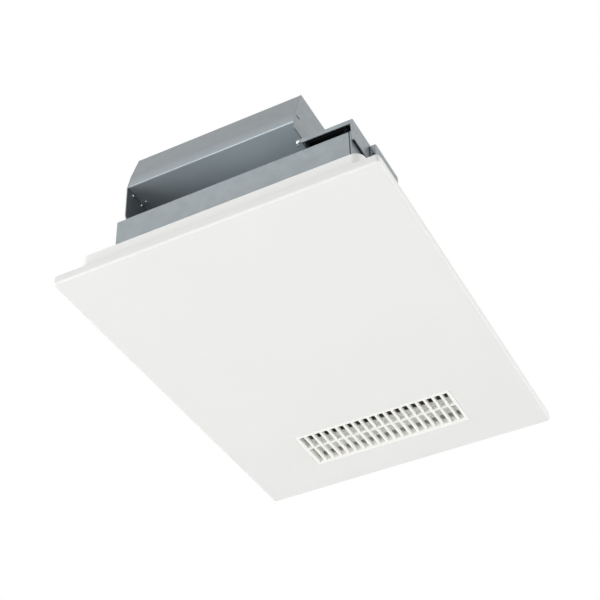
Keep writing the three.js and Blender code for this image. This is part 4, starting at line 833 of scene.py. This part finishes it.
def make_panel_arms():
    """Guide arm with foot, stem, ribs and lead-in hook, made once for the four corners."""
    arm = rounded_slab((-7, 7), (-11, 11), (0, 2.2), 2.5, 4)
    hook = slab((0, 6), (-6, 6), (48, 51.2))
    bevelled(hook, lambda a, b: min(a.x, b.x) > 5.9 and min(a.z, b.z) > 51.1, 2.2, 1)
    ribs = []
    for y in (-4.2, 4.2):
        rib = slab((-6, 6), about(y, 0.7), (1.5, 6.5))
        bevelled(rib, lambda a, b: near_to(a.x, b.x) and abs(a.x) > 5.9 and min(a.z, b.z) > 6.4, 3.4, 1)
        ribs.append(rib)
    fused(arm, slab((-2, 2), (-6, 6), (1.1, 51.2)), hook, *ribs)
    for side in (-1, 1):
        cut_out(arm, slab((side * 0.7, side * 3), (-4, 4), (12, 44)))
    softened(clean(arm), 0.25, 2, 40)
    for side_name, side in SIDES.items():
        for end_name, y in ARM_ENDS.items():
            turn = (0, 0, math.pi if side < 0 else 0)
            fitted(moved(copied(arm), (side * ARM_X, y, 2.8), turn), f"panel_arm_{side_name}_{end_name}")
    bpy.data.objects.remove(arm)


def make_filter():
    """Filter frame with its ribs and ridged finger tab."""
    body = rounded_slab(about(0, FILTER_X), (FILTER_NEAR, FILTER_FAR), (FILTER_UNDER, FILTER_TOP), 4, 4)
    cut_out(body, slab((5 - FILTER_X, FILTER_X - 5), (FILTER_NEAR + 5, FILTER_FAR - 5), (0, 30)))
    levels = (FILTER_UNDER + 0.2, FILTER_TOP - 0.2)
    rib_x = [(i / 2 - 1) * FILTER_X for i in range(1, 4)]
    rib_y = [FILTER_NEAR + (FILTER_FAR - FILTER_NEAR) * i / 5 for i in range(1, 5)]
    extras = strips_along_y(rib_x, 0.8, (FILTER_NEAR + 2.5, FILTER_FAR - 2.5), levels)
    extras += strips_along_x(rib_y, 0.8, (2.5 - FILTER_X, FILTER_X - 2.5), levels)
    tab = slab((-25, 25), (FILTER_NEAR - 8, FILTER_NEAR + 2.5), (FILTER_UNDER, FILTER_UNDER + 2))
    bevelled(tab, lambda a, b: upright(a, b) and a.y < FILTER_NEAR, 3, 4)
    ridges = [FILTER_NEAR - step for step in (2, 4, 6)]
    extras += strips_along_x(ridges, 0.4, (-18, 18), (FILTER_UNDER + 1.5, FILTER_UNDER + 2.6))
    fused(body, tab, *extras)
    dressed(body, "intake_filter", 0.3, 2, 40)


def make_filter_net():
    """Fine net moulded in the filter's frame, from one thread each way."""
    inset, pitch, thread = 2.5, 2, 0.2
    level = (FILTER_UNDER + FILTER_TOP) / 2
    reach_x, near, far = FILTER_X - inset, FILTER_NEAR + inset, FILTER_FAR - inset
    weft = bar("x", thread, -reach_x, reach_x, (near + pitch, level), 6)
    in_a_row(weft, int((far - near) / pitch) - 1, (0, pitch, 0))
    warp = bar("y", thread, near, far, (-reach_x + pitch, level + thread), 6)
    in_a_row(warp, int(2 * reach_x / pitch) - 1, (pitch, 0, 0))
    mounted(smoothed(together(weft, warp), 70), "filter_net", BODY_OF["intake_filter"], "filter_mesh")


def threaded_screw(head, head_height, shank, length, recess):
    """Pan-head screw with a cross recess, head below and thread above."""
    pairs = [(head * 0.62, 0), (head * 0.86, head_height * 0.18), (head * 0.97, head_height * 0.45),
             (head, head_height * 0.75), (head, head_height), (shank, head_height)]
    level = head_height + 0.8
    while level < length - 1:
        pairs += [(shank * 0.8, level), (shank, level + 0.45)]
        level += 0.9
    pairs += [(shank * 0.75, length - 0.5), (shank * 0.4, length)]
    made = turned(pairs, 20)
    cross_cut(made, recess, recess / 4, (-1, head_height * 0.6))
    return smoothed(made, 40)


def make_screws():
    """Four long screws for the base and four short ones for the sheets."""
    large = threaded_screw(4, 2.2, 1.8, 23.2, 2.1)
    for side_name, side in SIDES.items():
        for end_name, end in (("near", -1), ("far", 1)):
            fitted(moved(copied(large), (side * BOSS_X, end * BOSS_Y, 17.5)),
                   f"base_screw_{side_name}_{end_name}")
    bpy.data.objects.remove(large)
    spots = {
        "recess_screw_1": ((-127.3, *SIDE_SCREWS[0]), (0, -math.pi / 2, 0)),
        "recess_screw_2": ((-127.3, *SIDE_SCREWS[1]), (0, -math.pi / 2, 0)),
        "recess_screw_3": ((*FOLD_SCREW, 147.8), (0, 0, 0)),
        "rail_screw": ((81.5, -203.7, 115.55), (-math.pi / 2, 0, 0)),
    }
    for node, screw in zip(spots, copies(threaded_screw(2.3, 1.4, 1.2, 6.4, 1.3), spots.values())):
        fitted(screw, node)


# Outlet: nozzle, duct, heater and the louvres' drive

NOZZLE_X, NOZZLE_Y = (-100, 104.7), (136, 199.45)


def make_nozzle():
    """Outlet throat with its two ribbed ears and the holes for the vanes' pins."""
    nozzle = rounded_slab(NOZZLE_X, NOZZLE_Y, (11.3, 39.7), 2.5, 4)
    extras = [slab((-87.65, 92.35), y, (22.8, 24.8)) for y in ((126, 138), (197.5, 209.45))]
    for y in ((129, 138), (197.5, 206)):
        extras += strips_along_y((-60, 0, 60), 0.8, y, (24, 31))
    fused(nozzle, *extras)
    throat = rounded_slab((-98, 102.7), (138, 197.45), (0, 60), 1.5, 4)
    holes = bars("x", 1.85, -110, 115, grid((PIVOT_NEAR, PIVOT_FAR), (PIVOT_Z,)), 24)
    holes += bars("z", 1.9, 20, 30, grid((-78, 30, 82), (131, 204.5)), 20)
    cut_out(nozzle, throat, *holes)
    dressed(nozzle, "outlet_nozzle", 0.3, 2, 40)


def mouth_cutter():
    """The opening between the duct and the air chamber."""
    return rounded_slab((-94, 70), (142, 192), (95, 110), 3, 4)


def make_duct():
    """Box folded from sheet, with its mouth above and spot welds on the corner laps."""
    duct = rounded_slab(NOZZLE_X, NOZZLE_Y, (40, 103), 1.6, 4)
    hollowed(duct, facing_down, SHEET, 63 - SHEET)
    cut_out(duct, mouth_cutter())
    clean(duct)
    softened(duct, 0.12, 1, 50)
    near = NOZZLE_Y[0]
    welds = bars("y", 1.7, near - 0.25, near + 0.4, grid((-88, 92), (50, 64, 78, 92)), 20)
    fitted(together(duct, *[softened(weld, 0.15) for weld in welds]), "outlet_duct", DUCT_ZINC)


def make_heater_frame():
    """Plastic frame round the heater, with a row of pockets on both long sides."""
    carrier = rounded_slab((-98.5, 103.2), (137.5, 197.95), (58, 82), 2, 4)
    openings = [slab((-90.5, 95.2), (145.5, 189.95), (50, 90))]
    for y in ((139.5, 143.5), (191.9, 195.9)):
        openings += strips_along_y(range(-72, 90, 24), 9, y, (60, 90))
    cut_out(carrier, *openings)
    dressed(carrier, "heater_frame", 0.4, 2, 40)


def make_heater_core():
    """Four heating bars with corrugated fins between them."""
    left, right, near, far, low, high = -90.2, 94.9, 145.8, 189.65, 61, 79
    bar_width, pitch = 3, 2.6
    row = (far - near - bar_width) / 3
    heating_bar = softened(slab((left, right), (near, near + bar_width), (low, high)), 0.4)
    fin_left = left + 0.8
    fins = thin_strip([(fin_left, near + bar_width), (fin_left + pitch / 2, near + row),
                       (fin_left + pitch, near + bar_width)], (low + 0.6, high - 0.6))
    fins.matrix_world = RUNS["z"]
    fixed(fins)
    in_a_row(fins, 70, (pitch, 0, 0), use_merge_vertices=True, merge_threshold=0.01 * MM)
    thickened(fins, 0.25, 0)
    parts = [moved(copied(heating_bar), (0, i * row, 0)) for i in range(1, 4)]
    parts += [moved(copied(fins), (0, i * row, 0)) for i in range(1, 3)]
    ends = [softened(slab((x, x + 1.6), (near, far), (low, high)), 0.3) for x in (left, right - 1.6)]
    fitted(together(heating_bar, fins, *parts, *ends), "heater_core")


def make_thermal_fuse():
    """Flat fuse body with its two leads and a crimp at each end."""
    x, y, z = -94.5, 167.73, 84.8
    fuse = softened(slab(about(x, 2.5), about(y, 7), about(z, 2.5)), 0.6, 3)
    leads = pin(1.0, y - 14, y + 14, (x, z), 20, 0.2, "y")
    crimps = [pin(1.5, near, near + 3, (x, z), 24, axis="y") for near in (y - 9.5, y + 6.5)]
    fitted(together(fuse, leads, *crimps), "thermal_fuse")


def make_louvre_link():
    """Flat link between the two vanes' crank pins."""
    x = (-104.8, -102.8)
    eyes = [crank_eye(pivot_y) for pivot_y in (PIVOT_NEAR, PIVOT_FAR)]
    link = slab(x, (eyes[0][0], eyes[1][0]), about(eyes[0][1], 1.7))
    fused(link, *bars("x", 2.6, *x, eyes, 28))
    cut_out(link, *bars("x", 1.45, -110, -100, eyes, 20))
    dressed(link, "louvre_link", 0.2, 2, 40)


def make_louvre_motor():
    """Round geared motor with a joint round its can and a neck at its far end."""
    motor = turned([(9.1, 0), (9.5, 0.4), (9.5, 3), (9.1, 3.3), (9.1, 3.9), (9.5, 4.2), (9.5, 10.4),
                    (9.1, 10.8), (4.2, 10.8), (3.8, 12)], 48)
    moved(motor, (105, PIVOT_NEAR, PIVOT_Z), (0, math.pi / 2, 0))
    cut_out(motor, bar("x", 1.85, 100, 111, (PIVOT_NEAR, PIVOT_Z), 20))
    fitted(smoothed(motor, 30), "louvre_motor")


# Flat sheets of the body

def pop_rivet():
    """Domed rivet head."""
    return smoothed(turned([(2.1, -0.2), (2.1, 0.15), (1.9, 0.5), (1.3, 0.85), (0.7, 0.95)], 16), 60)


def make_middle_plate():
    """Plate between the frame and the hood, with the fan's inlet and the duct's mouth."""
    plate = slab((-140.7, HOOD_INSIDE[1]), (-139.5, FAR), (PLATE_UNDER, PLATE_UNDER + SHEET))
    holes = [bar("z", 60.5, 100, 110, (FAN_X, FAN_Y), 96)]
    for i in range(6):
        angle = math.radians(30 + 60 * i)
        x, y = on_circle(67, angle)
        holes.append(bar("z", 1.5, 100, 110, (FAN_X + x, FAN_Y + y), 14))
    cut_out(plate, mouth_cutter(), *holes)
    dressed(plate, "middle_plate")


def make_recess_back():
    """Wall at the back of the recess, with its lower tail under the casing's roof."""
    back = slab(HOOD_INSIDE, RECESS_WALL, (PLATE_UNDER, 149.2))
    fused(back, slab((60, 83.2), RECESS_WALL, (PLATE_UNDER, 118)))
    dressed(back, "recess_back")


def make_far_walls():
    """Far ends of the frame and the hood, held by rivets in their side folds."""
    low_wall = slab((-139.5, 139.5), FAR_WALL, (CEILING, FRAME_TOP))
    bevelled(low_wall, along_y, 1.5, 3)
    high_wall = slab(HOOD_INSIDE, FAR_WALL, (CHAMBER_FLOOR, CHAMBER_TOP))
    clean(cut_out(high_wall, bar("y", 42, 190, 210, (PORT_X, PORT_Z), 96)))
    rivet = pop_rivet()
    for node, wall, places in (("frame_end_far", low_wall, grid((-134, 134), (48, 70, 92))),
                               ("hood_end_far", high_wall, grid((-122, 70), (116, 198)))):
        softened(wall, 0.18, 1, 50)
        heads = [moved(copied(rivet), (x, FAR, z), (-math.pi / 2, 0, 0)) for x, z in places]
        fitted(together(wall, *heads), node)
    bpy.data.objects.remove(rivet)


# Fan

def about_fan(obj):
    return moved(obj, (FAN_X, FAN_Y, 0))


def spiral(offset):
    """Plan points of the housing's spiral about the fan axis."""
    tongue, steps = 1.05, 48
    points = []
    for i in range(steps + 1):
        angle = tongue + (2 * math.pi - tongue) * i / steps
        radius = 74 + 18 * i / steps + offset
        points.append(on_circle(radius, angle))
    return points


def make_scroll():
    """Spiral wall with its two straight cheeks, and the lid over it."""
    band = spiral(0)
    line = [(band[0][0], 100), *band, (92, 100)]
    wall = folded(line, (CHAMBER_FLOOR, 158.3), run="z", bend=0, thickness=1.5)
    fitted(about_fan(smoothed(wall)), "scroll_housing")
    rim = spiral(1.5)
    lid = from_outline([*rim, (93.5, 100), (rim[0][0] - 1.5, 100)], 158.6, 159.8)
    screws = [(-72, 0), (0, -76), (84, 0), (50, 92), (-44, 60)]
    cut_out(lid, bar("z", 8, 150, 170, (0, 0), 48), *bars("z", 1.5, 150, 170, screws, 14))
    clean(lid)
    softened(lid, 0.18, 1, 60)
    fitted(about_fan(lid), "scroll_cover")


def make_inlet_ring():
    """Bell mouth with a rounded throat."""
    level = PLATE_UNDER
    arc = (0, 0.4, 0.8, 1.2, math.pi / 2)
    outer = [(59.5 - 4 * math.sin(angle), level + 3.7 - 4 * math.cos(angle)) for angle in arc]
    inner = [(59.5 - 5.5 * math.cos(angle), level + 3.7 - 5.5 * math.sin(angle)) for angle in arc]
    ring = turned([(72.5, level - 1.8), (72.5, level - 0.3), *outer, (55.5, level + 7.6),
                   (55.1, level + 8), (54.4, level + 8), (54, level + 7.6), *inner], 96, closed=True)
    fitted(about_fan(smoothed(ring)), "inlet_ring")


def make_rotor():
    """Fan wheel: back plate and hub, eye ring, and a swept blade and a strut copied round."""
    back = turned([(4.35, 138), (8.5, 138), (9, 138.5), (9, 150), (11, 152), (69.5, 152), (70, 152.5),
                   (70, 153.6), (69.6, 154), (13, 154), (12, 153.4), (4.35, 153.4)], 96, closed=True)
    eye = turned([(61, 108.4), (61.4, 108), (69.6, 108), (70, 108.4), (70, 109.6), (69.6, 110),
                  (61.4, 110), (61, 109.6)], 96, closed=True)
    front, rear = [], []
    for i in range(6):
        share = i / 5
        radius = 58.2 + 11.4 * share
        lean = 0.16 * share * share
        half = (0.45 + 0.3 * math.sin(math.pi * share)) / radius
        front.append(on_circle(radius, lean - half))
        rear.insert(0, on_circle(radius, lean + half))
    blades = turned_copies(from_outline([*front, *rear], 109, 153), 28)
    strut = slab((8, 30), (-0.8, 0.8), (148, 152.5))
    bevelled(strut, lambda a, b: min(a.x, b.x) > 29 and max(a.z, b.z) < 148.1, 4.2, 4)
    wheel = together(back, eye, *blades, *turned_copies(strut, 6))
    fitted(about_fan(smoothed(wheel)), "fan_rotor")


def make_motor_shaft():
    """Shaft with a threaded lower end."""
    shaft = turned([(3.4, 128), (4, 128.6), (3.7, 129.2), (4, 129.8), (3.7, 130.4), (4, 131), (4, 177.3),
                    (3.4, 177.9)], 32)
    fitted(about_fan(smoothed(shaft)), "motor_shaft")


def make_rotor_nut():
    """Six-sided nut with its corners turned down."""
    nut = turned([(6.9, 131.2), (8, 131.9), (8, 137), (6.9, 137.7)], 6)
    cut_out(nut, bar("z", 4.35, 120, 150, (0, 0), 24))
    fitted(about_fan(softened(nut, 0.2)), "rotor_nut")


def make_motor_bracket():
    """Six-sided carrier plate with rounded corners, lightening slots and screw holes."""
    plate = bar("z", 56, 160.1, 161.6, (0, 0), 6)
    bevelled(plate, upright, 6, 5)
    cuts = [bar("z", 8, 150, 170, (0, 0), 40)]
    for i in range(6):
        angle = math.radians(60 * i + 18)
        cuts.append(bar("z", 2, 150, 170, on_circle(48, angle), 16))
        slot = rounded_slab((20, 34), (-3, 3), (150, 170), 2.9, 4)
        cuts.append(moved(slot, (0, 0, 0), (0, 0, angle + 0.5)))
    cut_out(plate, *cuts)
    clean(plate)
    softened(plate, 0.2, 2, 50)
    fitted(about_fan(plate), "motor_bracket")


def make_fan_motor():
    """Motor can with a rolled joint, a domed cap, vent slots and a bearing boss."""
    base = 161.9
    can = turned([(43, base), (44, base + 1), (44, base + 12.5), (43.2, base + 13), (43.2, base + 14.2),
                  (44, base + 14.7), (44, base + 28), (43.2, base + 30.2), (41.4, base + 33),
                  (38.6, base + 35.4), (36.5, base + 36), (15, base + 36), (13.4, base + 36.6),
                  (13, base + 37.4), (13, base + 40.2), (12.2, base + 41)], 96)
    cuts = [bar("z", 4.35, base - 5, base + 16.3, (0, 0), 32)]
    cuts += turned_copies(rounded_slab((22, 33), (-1.6, 1.6), (base + 33, base + 40), 1.5, 3), 16)
    cut_out(can, *cuts)
    fitted(about_fan(smoothed(can)), "fan_motor")


# Air chamber, damper and duct collar

def make_partition():
    """Wall between the fan and the air chamber, with the scroll's window."""
    wall = slab(HOOD_INSIDE, (50.3, 51.5), (CHAMBER_FLOOR, CHAMBER_TOP))
    window = slab((16.82, 72), (40, 60), (106, 158.3))
    bevelled(window, along_y, 2, 4)
    cut_out(wall, window, *bars("y", 1.5, 40, 60, grid((-122, -26, 70), (112, 202)), 14))
    dressed(wall, "fan_partition")


FLAP_HINGE = (196, 108.3)


def make_damper_flap():
    """Flap with rounded corners, three beads on top, and its hinge barrel and pins."""
    flap = slab((-100, 72), (102, 196), (105.15, 106.75))
    bevelled(flap, lambda a, b: upright(a, b) and a.y < 103, 3, 4)
    softened(flap, 0.2, 2, 50)
    parts = [pin(2.6, -99.8, 71.8, FLAP_HINGE, 40), pin(1.8, -112, HOOD_INSIDE[1], FLAP_HINGE, 28, 0.3)]
    for y in (154, 166, 178):
        bead = slab((-84, 60), about(y, 1.5), (106.2, 107.3))
        bevelled(bead, lambda a, b: min(a.z, b.z) > 107.2, 0.7, 3)
        parts.append(smoothed(bead))
    fitted(together(flap, *parts), "damper_flap")


def make_damper_motor():
    """Geared motor box with a lid joint, screw holes, a plug and the bore for the flap's pin."""
    box = slab((HOOD_INSIDE[0], -107.7), (179.5, 199.5), (CHAMBER_FLOOR, 126.8))
    bevelled(box, along_x, 2, 4)
    softened(box, 0.5, 3)
    lid_joint = cut_out(slab((-115.6, -115.1), (170, 210), (95, 135)),
                        slab((-118, -112), (180, 199), (105.3, 126.3)))
    cut_out(box, lid_joint)
    screws = [(182.4, 107.7), (182.4, 123.9), (196.6, 123.9)]
    cut_out(box, bar("x", 2.15, -119.7, -100, FLAP_HINGE, 28), *bars("x", 1.3, -108.5, -100, screws, 20))
    plug = softened(slab((-126, -118), (178.3, 181), (111, 121)), 0.5)
    fitted(together(smoothed(box), plug), "damper_motor")


def make_duct_collar():
    """Duct collar with flange, two pressed beads, a rolled mouth and the shutter's seat ring."""
    collar = turned([(47, 0), (50.2, 0), (50.5, 0.3), (50.5, 1.2), (50.2, 1.5), (49.1, 1.5), (48.5, 2.1),
                     (48.5, 20), (49.2, 20.8), (49.5, 22), (49.2, 23.2), (48.5, 24),
                     (48.5, 30), (49.2, 30.8), (49.5, 32), (49.2, 33.2), (48.5, 34),
                     (48.5, 40.2), (48.2, 41.1), (47.6, 41.5), (47.2, 41.2), (47, 40.6),
                     (47, 6.5), (42.8, 6.5), (42.5, 6.2), (42.5, 5.3), (42.8, 5), (47, 5)], 128, closed=True)
    moved(collar, (PORT_X, 201.3, PORT_Z), (-math.pi / 2, 0, 0))
    fitted(smoothed(collar, 40), "duct_collar")


HINGE_Y, HINGE_Z = 211.3, 193


def make_shutter():
    """Shutter plate with a pressed ring, its hinge barrel and the web between them."""
    plate = turned([(45.2, 0), (45.6, 0.3), (45.6, 0.9), (45.2, 1.2), (36, 1.2), (35.2, 2), (33.8, 2),
                    (33, 1.2), (30, 1.2), (29, 1.0), (6, 1.0), (5, 1.6)], 96)
    moved(plate, (PORT_X, 208.1, PORT_Z), (-math.pi / 2, 0, 0))
    trim = bar("y", 45.7, 200, 220, (0, 0), 96)
    trim.scale = (1, 1, 2)
    moved(trim, (PORT_X, 0, HINGE_Z - 72))
    kept_within(plate, trim)
    kept_within(plate, slab((-80, 30), (205, 215), (100, HINGE_Z)))
    half = 23.2
    fused(plate, bar("x", 2.6, PORT_X - half, PORT_X + half, (HINGE_Y, HINGE_Z), 32),
          slab(about(PORT_X, half), (208.15, HINGE_Y), (HINGE_Z - 2.6, HINGE_Z)))
    cut_out(plate, bar("x", 1.55, -80, 30, (HINGE_Y, HINGE_Z), 24))
    clean(plate)
    fitted(smoothed(plate, 30), "backdraft_shutter")


def make_shutter_pin():
    """Hinge pin with chamfered ends."""
    rod = turned([(0.8, -28.4), (1.2, -28), (1.2, 28), (0.8, 28.4)], 24)
    moved(rod, (PORT_X, HINGE_Y, HINGE_Z), (0, math.pi / 2, 0))
    fitted(smoothed(rod), "shutter_pin")


# Control box

BOX_X, BOX_Y, BOX_Z = (87, 137), (-198, -62), (66, 118)
BOARD_POSTS = grid((97.5, 126.5), (-144.5, -72.5))
WIRE_HOLE = (-110, 101.5)


def make_control_box():
    """Tray open below with a cable window, wire hole, vents and posts for the board."""
    tray = rounded_slab(BOX_X, BOX_Y, BOX_Z, 2.5, 4)
    hollowed(tray, facing_down, 1.5, 50.5)
    fused(tray, *bars("z", 3, 88.3, 117.5, BOARD_POSTS, 24))
    cuts = [slab((92, 132), (-200, -196), (104, 114)), bar("x", 5.35, 80, 89, WIRE_HOLE, 32)]
    cuts += strips_along_x(range(-150, -80, 12), 1.5, (135, 140), (92, 108))
    cuts += bars("z", 1.1, 80, 100, BOARD_POSTS, 14)
    cut_out(tray, *cuts)
    # Its matt black finish is partly the box's dark plastic and partly painted shade for the slot
    dressed(tray, "control_box", 0.25, 2, 40, BOX_BLACK_AND_PAINTED_SHADE)


def on_board(obj, name, slot):
    """Mounts a part that stands on the circuit board."""
    mounted(evenly_shaded(obj), name, BODY_OF["circuit_board"], slot)


def make_circuit_board():
    """Board with rounded corners and holes, and its parts hanging below it."""
    board = rounded_slab((91.5, 132.5), (-150.5, -66.5), (86.4, 88), 2, 4)
    cut_out(board, *bars("z", 1.7, 80, 95, BOARD_POSTS, 16))
    dressed(board, "circuit_board", 0.12)

    relay = softened(slab((97, 112), (-144.5, -129.5), (73.4, 86.3)), 0.6)
    fused(relay, bar("z", 0.8, 73.1, 74, (104.5, -137), 12))
    relays = together(relay, moved(copied(relay), (0, 18, 0)))
    chip = softened(slab((99, 109), (-104, -90), (84.6, 86.3)), 0.2)
    legs = []
    for i in range(6):
        legs += strips_along_y((98.4, 109.6), 0.7, (-103 + 2.3 * i, -102.2 + 2.3 * i), (85.4, 86.3))
    on_board(together(relays, chip, *legs), "board_relays", "dark_plastic")

    capacitor = turned([(5.8, 74.4), (6.6, 74.6), (7, 75.2), (7, 84.4), (6.6, 84.9), (6.6, 85.5), (7, 86),
                        (6.8, 86.35)], 40)
    cross_cut(capacitor, 4.4, 0.3, (74, 74.9))
    on_board(smoothed(moved(capacitor, (112, -79.5, 0))), "board_capacitor", "bright_steel")

    plug = slab((122.5, 129.5), (-144.5, -118.5), (77.4, 86.35))
    cut_out(plug, slab((123.5, 128.5), (-143.5, -119.5), (70, 84.5)))
    for i in range(5):
        fused(plug, softened(slab((125.6, 126.4), (-141.6 + 5 * i, -140.8 + 5 * i), (78.5, 85)), 0.1, 1))
    softened(plug, 0.25, 2, 50)
    on_board(plug, "board_plug", "white_panel")


def make_terminal_block():
    """Terminal block with five walled cells and a screw in each."""
    block = slab((95, 129), (-187.5, -169.5), (101.2, 116.2))
    wall = 1.4
    pitch = (34 - wall) / 5
    cells, screws = [], []
    for i in range(5):
        left = 95 + wall + i * pitch
        screw_x, screw_y = left + (pitch - wall) / 2, -174.5
        cells.append(slab((left, left + pitch - wall), (-190, -180.5), (95, 108.2)))
        cells.append(bar("z", 2, 95, 104, (screw_x, screw_y), 20))
        screws.append((screw_x, screw_y, 102.2))
    cut_out(block, *cells)
    dressed(block, "terminal_block", 0.3, 2, 40)
    screw = turned([(1.5, 0), (1.8, 0.3), (1.8, 2.2)], 20)
    cut_out(screw, slab((-2, 2), (-0.3, 0.3), (-1, 0.8)))
    screws = copies(screw, [(place, (0, 0, 0.4 * i)) for i, place in enumerate(screws)])
    on_board(smoothed(together(*screws)), "terminal_screws", "bright_steel")


def make_control_cover():
    """Lid with an inner lip, three ribs, vent slots and two screw holes."""
    lid = rounded_slab(BOX_X, BOX_Y, (64.4, 65.7), 2.5, 4)
    lip = slab((88.8, 135.2), (-196.2, -63.8), (65, 68.7))
    cut_out(lip, slab((90.3, 133.7), (-194.7, -65.3), (60, 75)))
    fused(lid, lip, *strips_along_x((-150, -125, -100), 0.7, (98, 126), (65.5, 67)))
    cuts = bars("z", 1.7, 60, 70, grid((112,), (-192, -68)), 20)
    cuts += strips_along_x(range(-140, -105, 6), 1, (100, 124), (60, 70))
    cut_out(lid, *cuts)
    dressed(lid, "control_cover", 0.25, 2, 40)


def make_bushing():
    """Rubber bushing with a flange and a rounded nose."""
    bush = turned([(3.2, -6.2), (3.5, -6.5), (4.6, -6.5), (5, -6.1), (5, 0.3), (7.6, 0.3), (8, 0.7),
                   (8, 1.4), (7.4, 1.8), (5.6, 2.2), (5, 4.6), (4.5, 5), (3.5, 5), (3.2, 4.7)],
                  40, closed=True)
    moved(bush, (BOX_X[0], *WIRE_HOLE), (0, -math.pi / 2, 0))
    fitted(smoothed(bush, 40), "wire_bushing")


make_front_panel()
make_grille()
make_panel_arms()
make_filter()
make_filter_net()
make_screws()
make_vane("louvre_vane_near", PIVOT_NEAR, 21, 5, 7.8)
make_vane("louvre_vane_far", PIVOT_FAR, 9.6, 1.2, 3.5)
make_louvre_link()
make_louvre_motor()
make_nozzle()
make_duct()
make_heater_frame()
make_heater_core()
make_thermal_fuse()
make_panel_base()
make_near_end_plate()
make_frame_side(-1)
make_frame_side(1)
make_hood_shell()
make_hood_side_left()
make_hood_side_right()
make_casing_right()
make_middle_plate()
make_recess_back()
make_far_walls()
make_bracket("hanger_bracket_left_near", -1, -1)
make_bracket("hanger_bracket_left_far", -1, 1)
make_bracket("hanger_bracket_right_near", 1, -1)
make_scroll()
make_inlet_ring()
make_rotor()
make_motor_shaft()
make_rotor_nut()
make_motor_bracket()
make_fan_motor()
make_partition()
make_damper_flap()
make_damper_motor()
make_duct_collar()
make_shutter()
make_shutter_pin()
make_control_box()
make_circuit_board()
make_terminal_block()
make_control_cover()
make_bushing()

# The CAD pieces behind the dressed ones get the same finishes

for name, obj in frame["nodes"].items():
    obj.data.materials.clear()
    obj.data.materials.append(FINISHES[SLOT_OF[name]])

# Floor, light and camera

FLOOR_SIZE, FLOOR_LEVEL = 30, -3.2
BODY_MIDDLE = Vector((0, 0, 0.1))
SURROUND_LIGHT, SURROUND_WHITE = 0.35, 1.0

let_go()
bpy.ops.mesh.primitive_plane_add(size=FLOOR_SIZE, location=(0, 0, FLOOR_LEVEL))
floor = bpy.context.object
floor.name = "studio_floor"
floor_finish = Finish("pale_floor", {"Roughness": 0.9, "Specular IOR Level": 0.1})
floor_tone = floor_finish.blend(floor_finish.noise(0.8, 2), colour((236, 236, 236)), colour((240, 240, 240)))
floor_finish.drive("Base Color", floor_tone)
floor.data.materials.append(floor_finish.material)


def lamp(name, place, size, power):
    """A soft round lamp that shines at the middle of the body."""
    data = bpy.data.lights.new(name, "AREA")
    data.shape = "DISK"
    data.size = size
    data.energy = power
    obj = bpy.data.objects.new(name, data)
    bpy.context.scene.collection.objects.link(obj)
    obj.location = place
    obj.rotation_euler = (BODY_MIDDLE - Vector(place)).to_track_quat("-Z", "Y").to_euler()


lamp("left_lamp", (-4.0, -2.7, -2.3), 4.2, 190)
lamp("left_side_lamp", (-4.8, -1.2, -1.6), 3.6, 52)
lamp("under_lamp", (-0.4, -0.6, -2.9), 2.4, 6)
lamp("front_lamp", (-0.6, -2.5, -2.3), 1.8, 6)
lamp("near_right_lamp", (1.6, -4.2, -1.8), 2.5, 28)
lamp("right_lamp", (4.4, 1.6, -1.0), 3.6, 138)
lamp("top_lamp", (-1.05, -2.0, 2.2), 1.6, 8.5)

world = bpy.data.worlds.new("studio_world")
bpy.context.scene.world = world
world.use_nodes = True
world_tree = world.node_tree
background = world_tree.nodes["Background"]
paths = world_tree.nodes.new("ShaderNodeLightPath")
seen = paths.outputs["Is Camera Ray"]
for ray in ("Is Glossy Ray", "Is Transmission Ray"):
    either = world_tree.nodes.new("ShaderNodeMath")
    either.operation = "MAXIMUM"
    world_tree.links.new(seen, either.inputs[0])
    world_tree.links.new(paths.outputs[ray], either.inputs[1])
    seen = either.outputs[0]
strength = world_tree.nodes.new("ShaderNodeMapRange")
strength.inputs["To Min"].default_value = SURROUND_LIGHT
strength.inputs["To Max"].default_value = SURROUND_WHITE
world_tree.links.new(seen, strength.inputs["Value"])
world_tree.links.new(strength.outputs[0], background.inputs["Strength"])
background.inputs["Color"].default_value = (1, 1, 1, 1)

FRAME_PIXELS, FOCAL_PIXELS = 600, 1366
CAMERA_PLACE = (0.5069, -1.0916, -0.9163)
AZIMUTH, ELEVATION, ROLL = (math.radians(value) for value in (25.80, -39.73, -2.12))
back = Vector((math.sin(AZIMUTH) * math.cos(ELEVATION), -math.cos(AZIMUTH) * math.cos(ELEVATION),
               math.sin(ELEVATION)))
level_right = Vector((math.cos(AZIMUTH), math.sin(AZIMUTH), 0))
level_up = back.cross(level_right)
right = math.cos(ROLL) * level_right + math.sin(ROLL) * level_up
up = -math.sin(ROLL) * level_right + math.cos(ROLL) * level_up
camera_data = bpy.data.cameras.new("photo_camera")
camera_data.sensor_width = 36
camera_data.lens = camera_data.sensor_width * FOCAL_PIXELS / FRAME_PIXELS
camera_data.clip_end = 50
camera = bpy.data.objects.new("photo_camera", camera_data)
bpy.context.scene.collection.objects.link(camera)
turn = Matrix((right, up, back)).transposed().to_4x4()
camera.matrix_world = Matrix.Translation(CAMERA_PLACE) @ turn
bpy.context.scene.camera = camera
bpy.context.scene.view_settings.view_transform = "Standard"
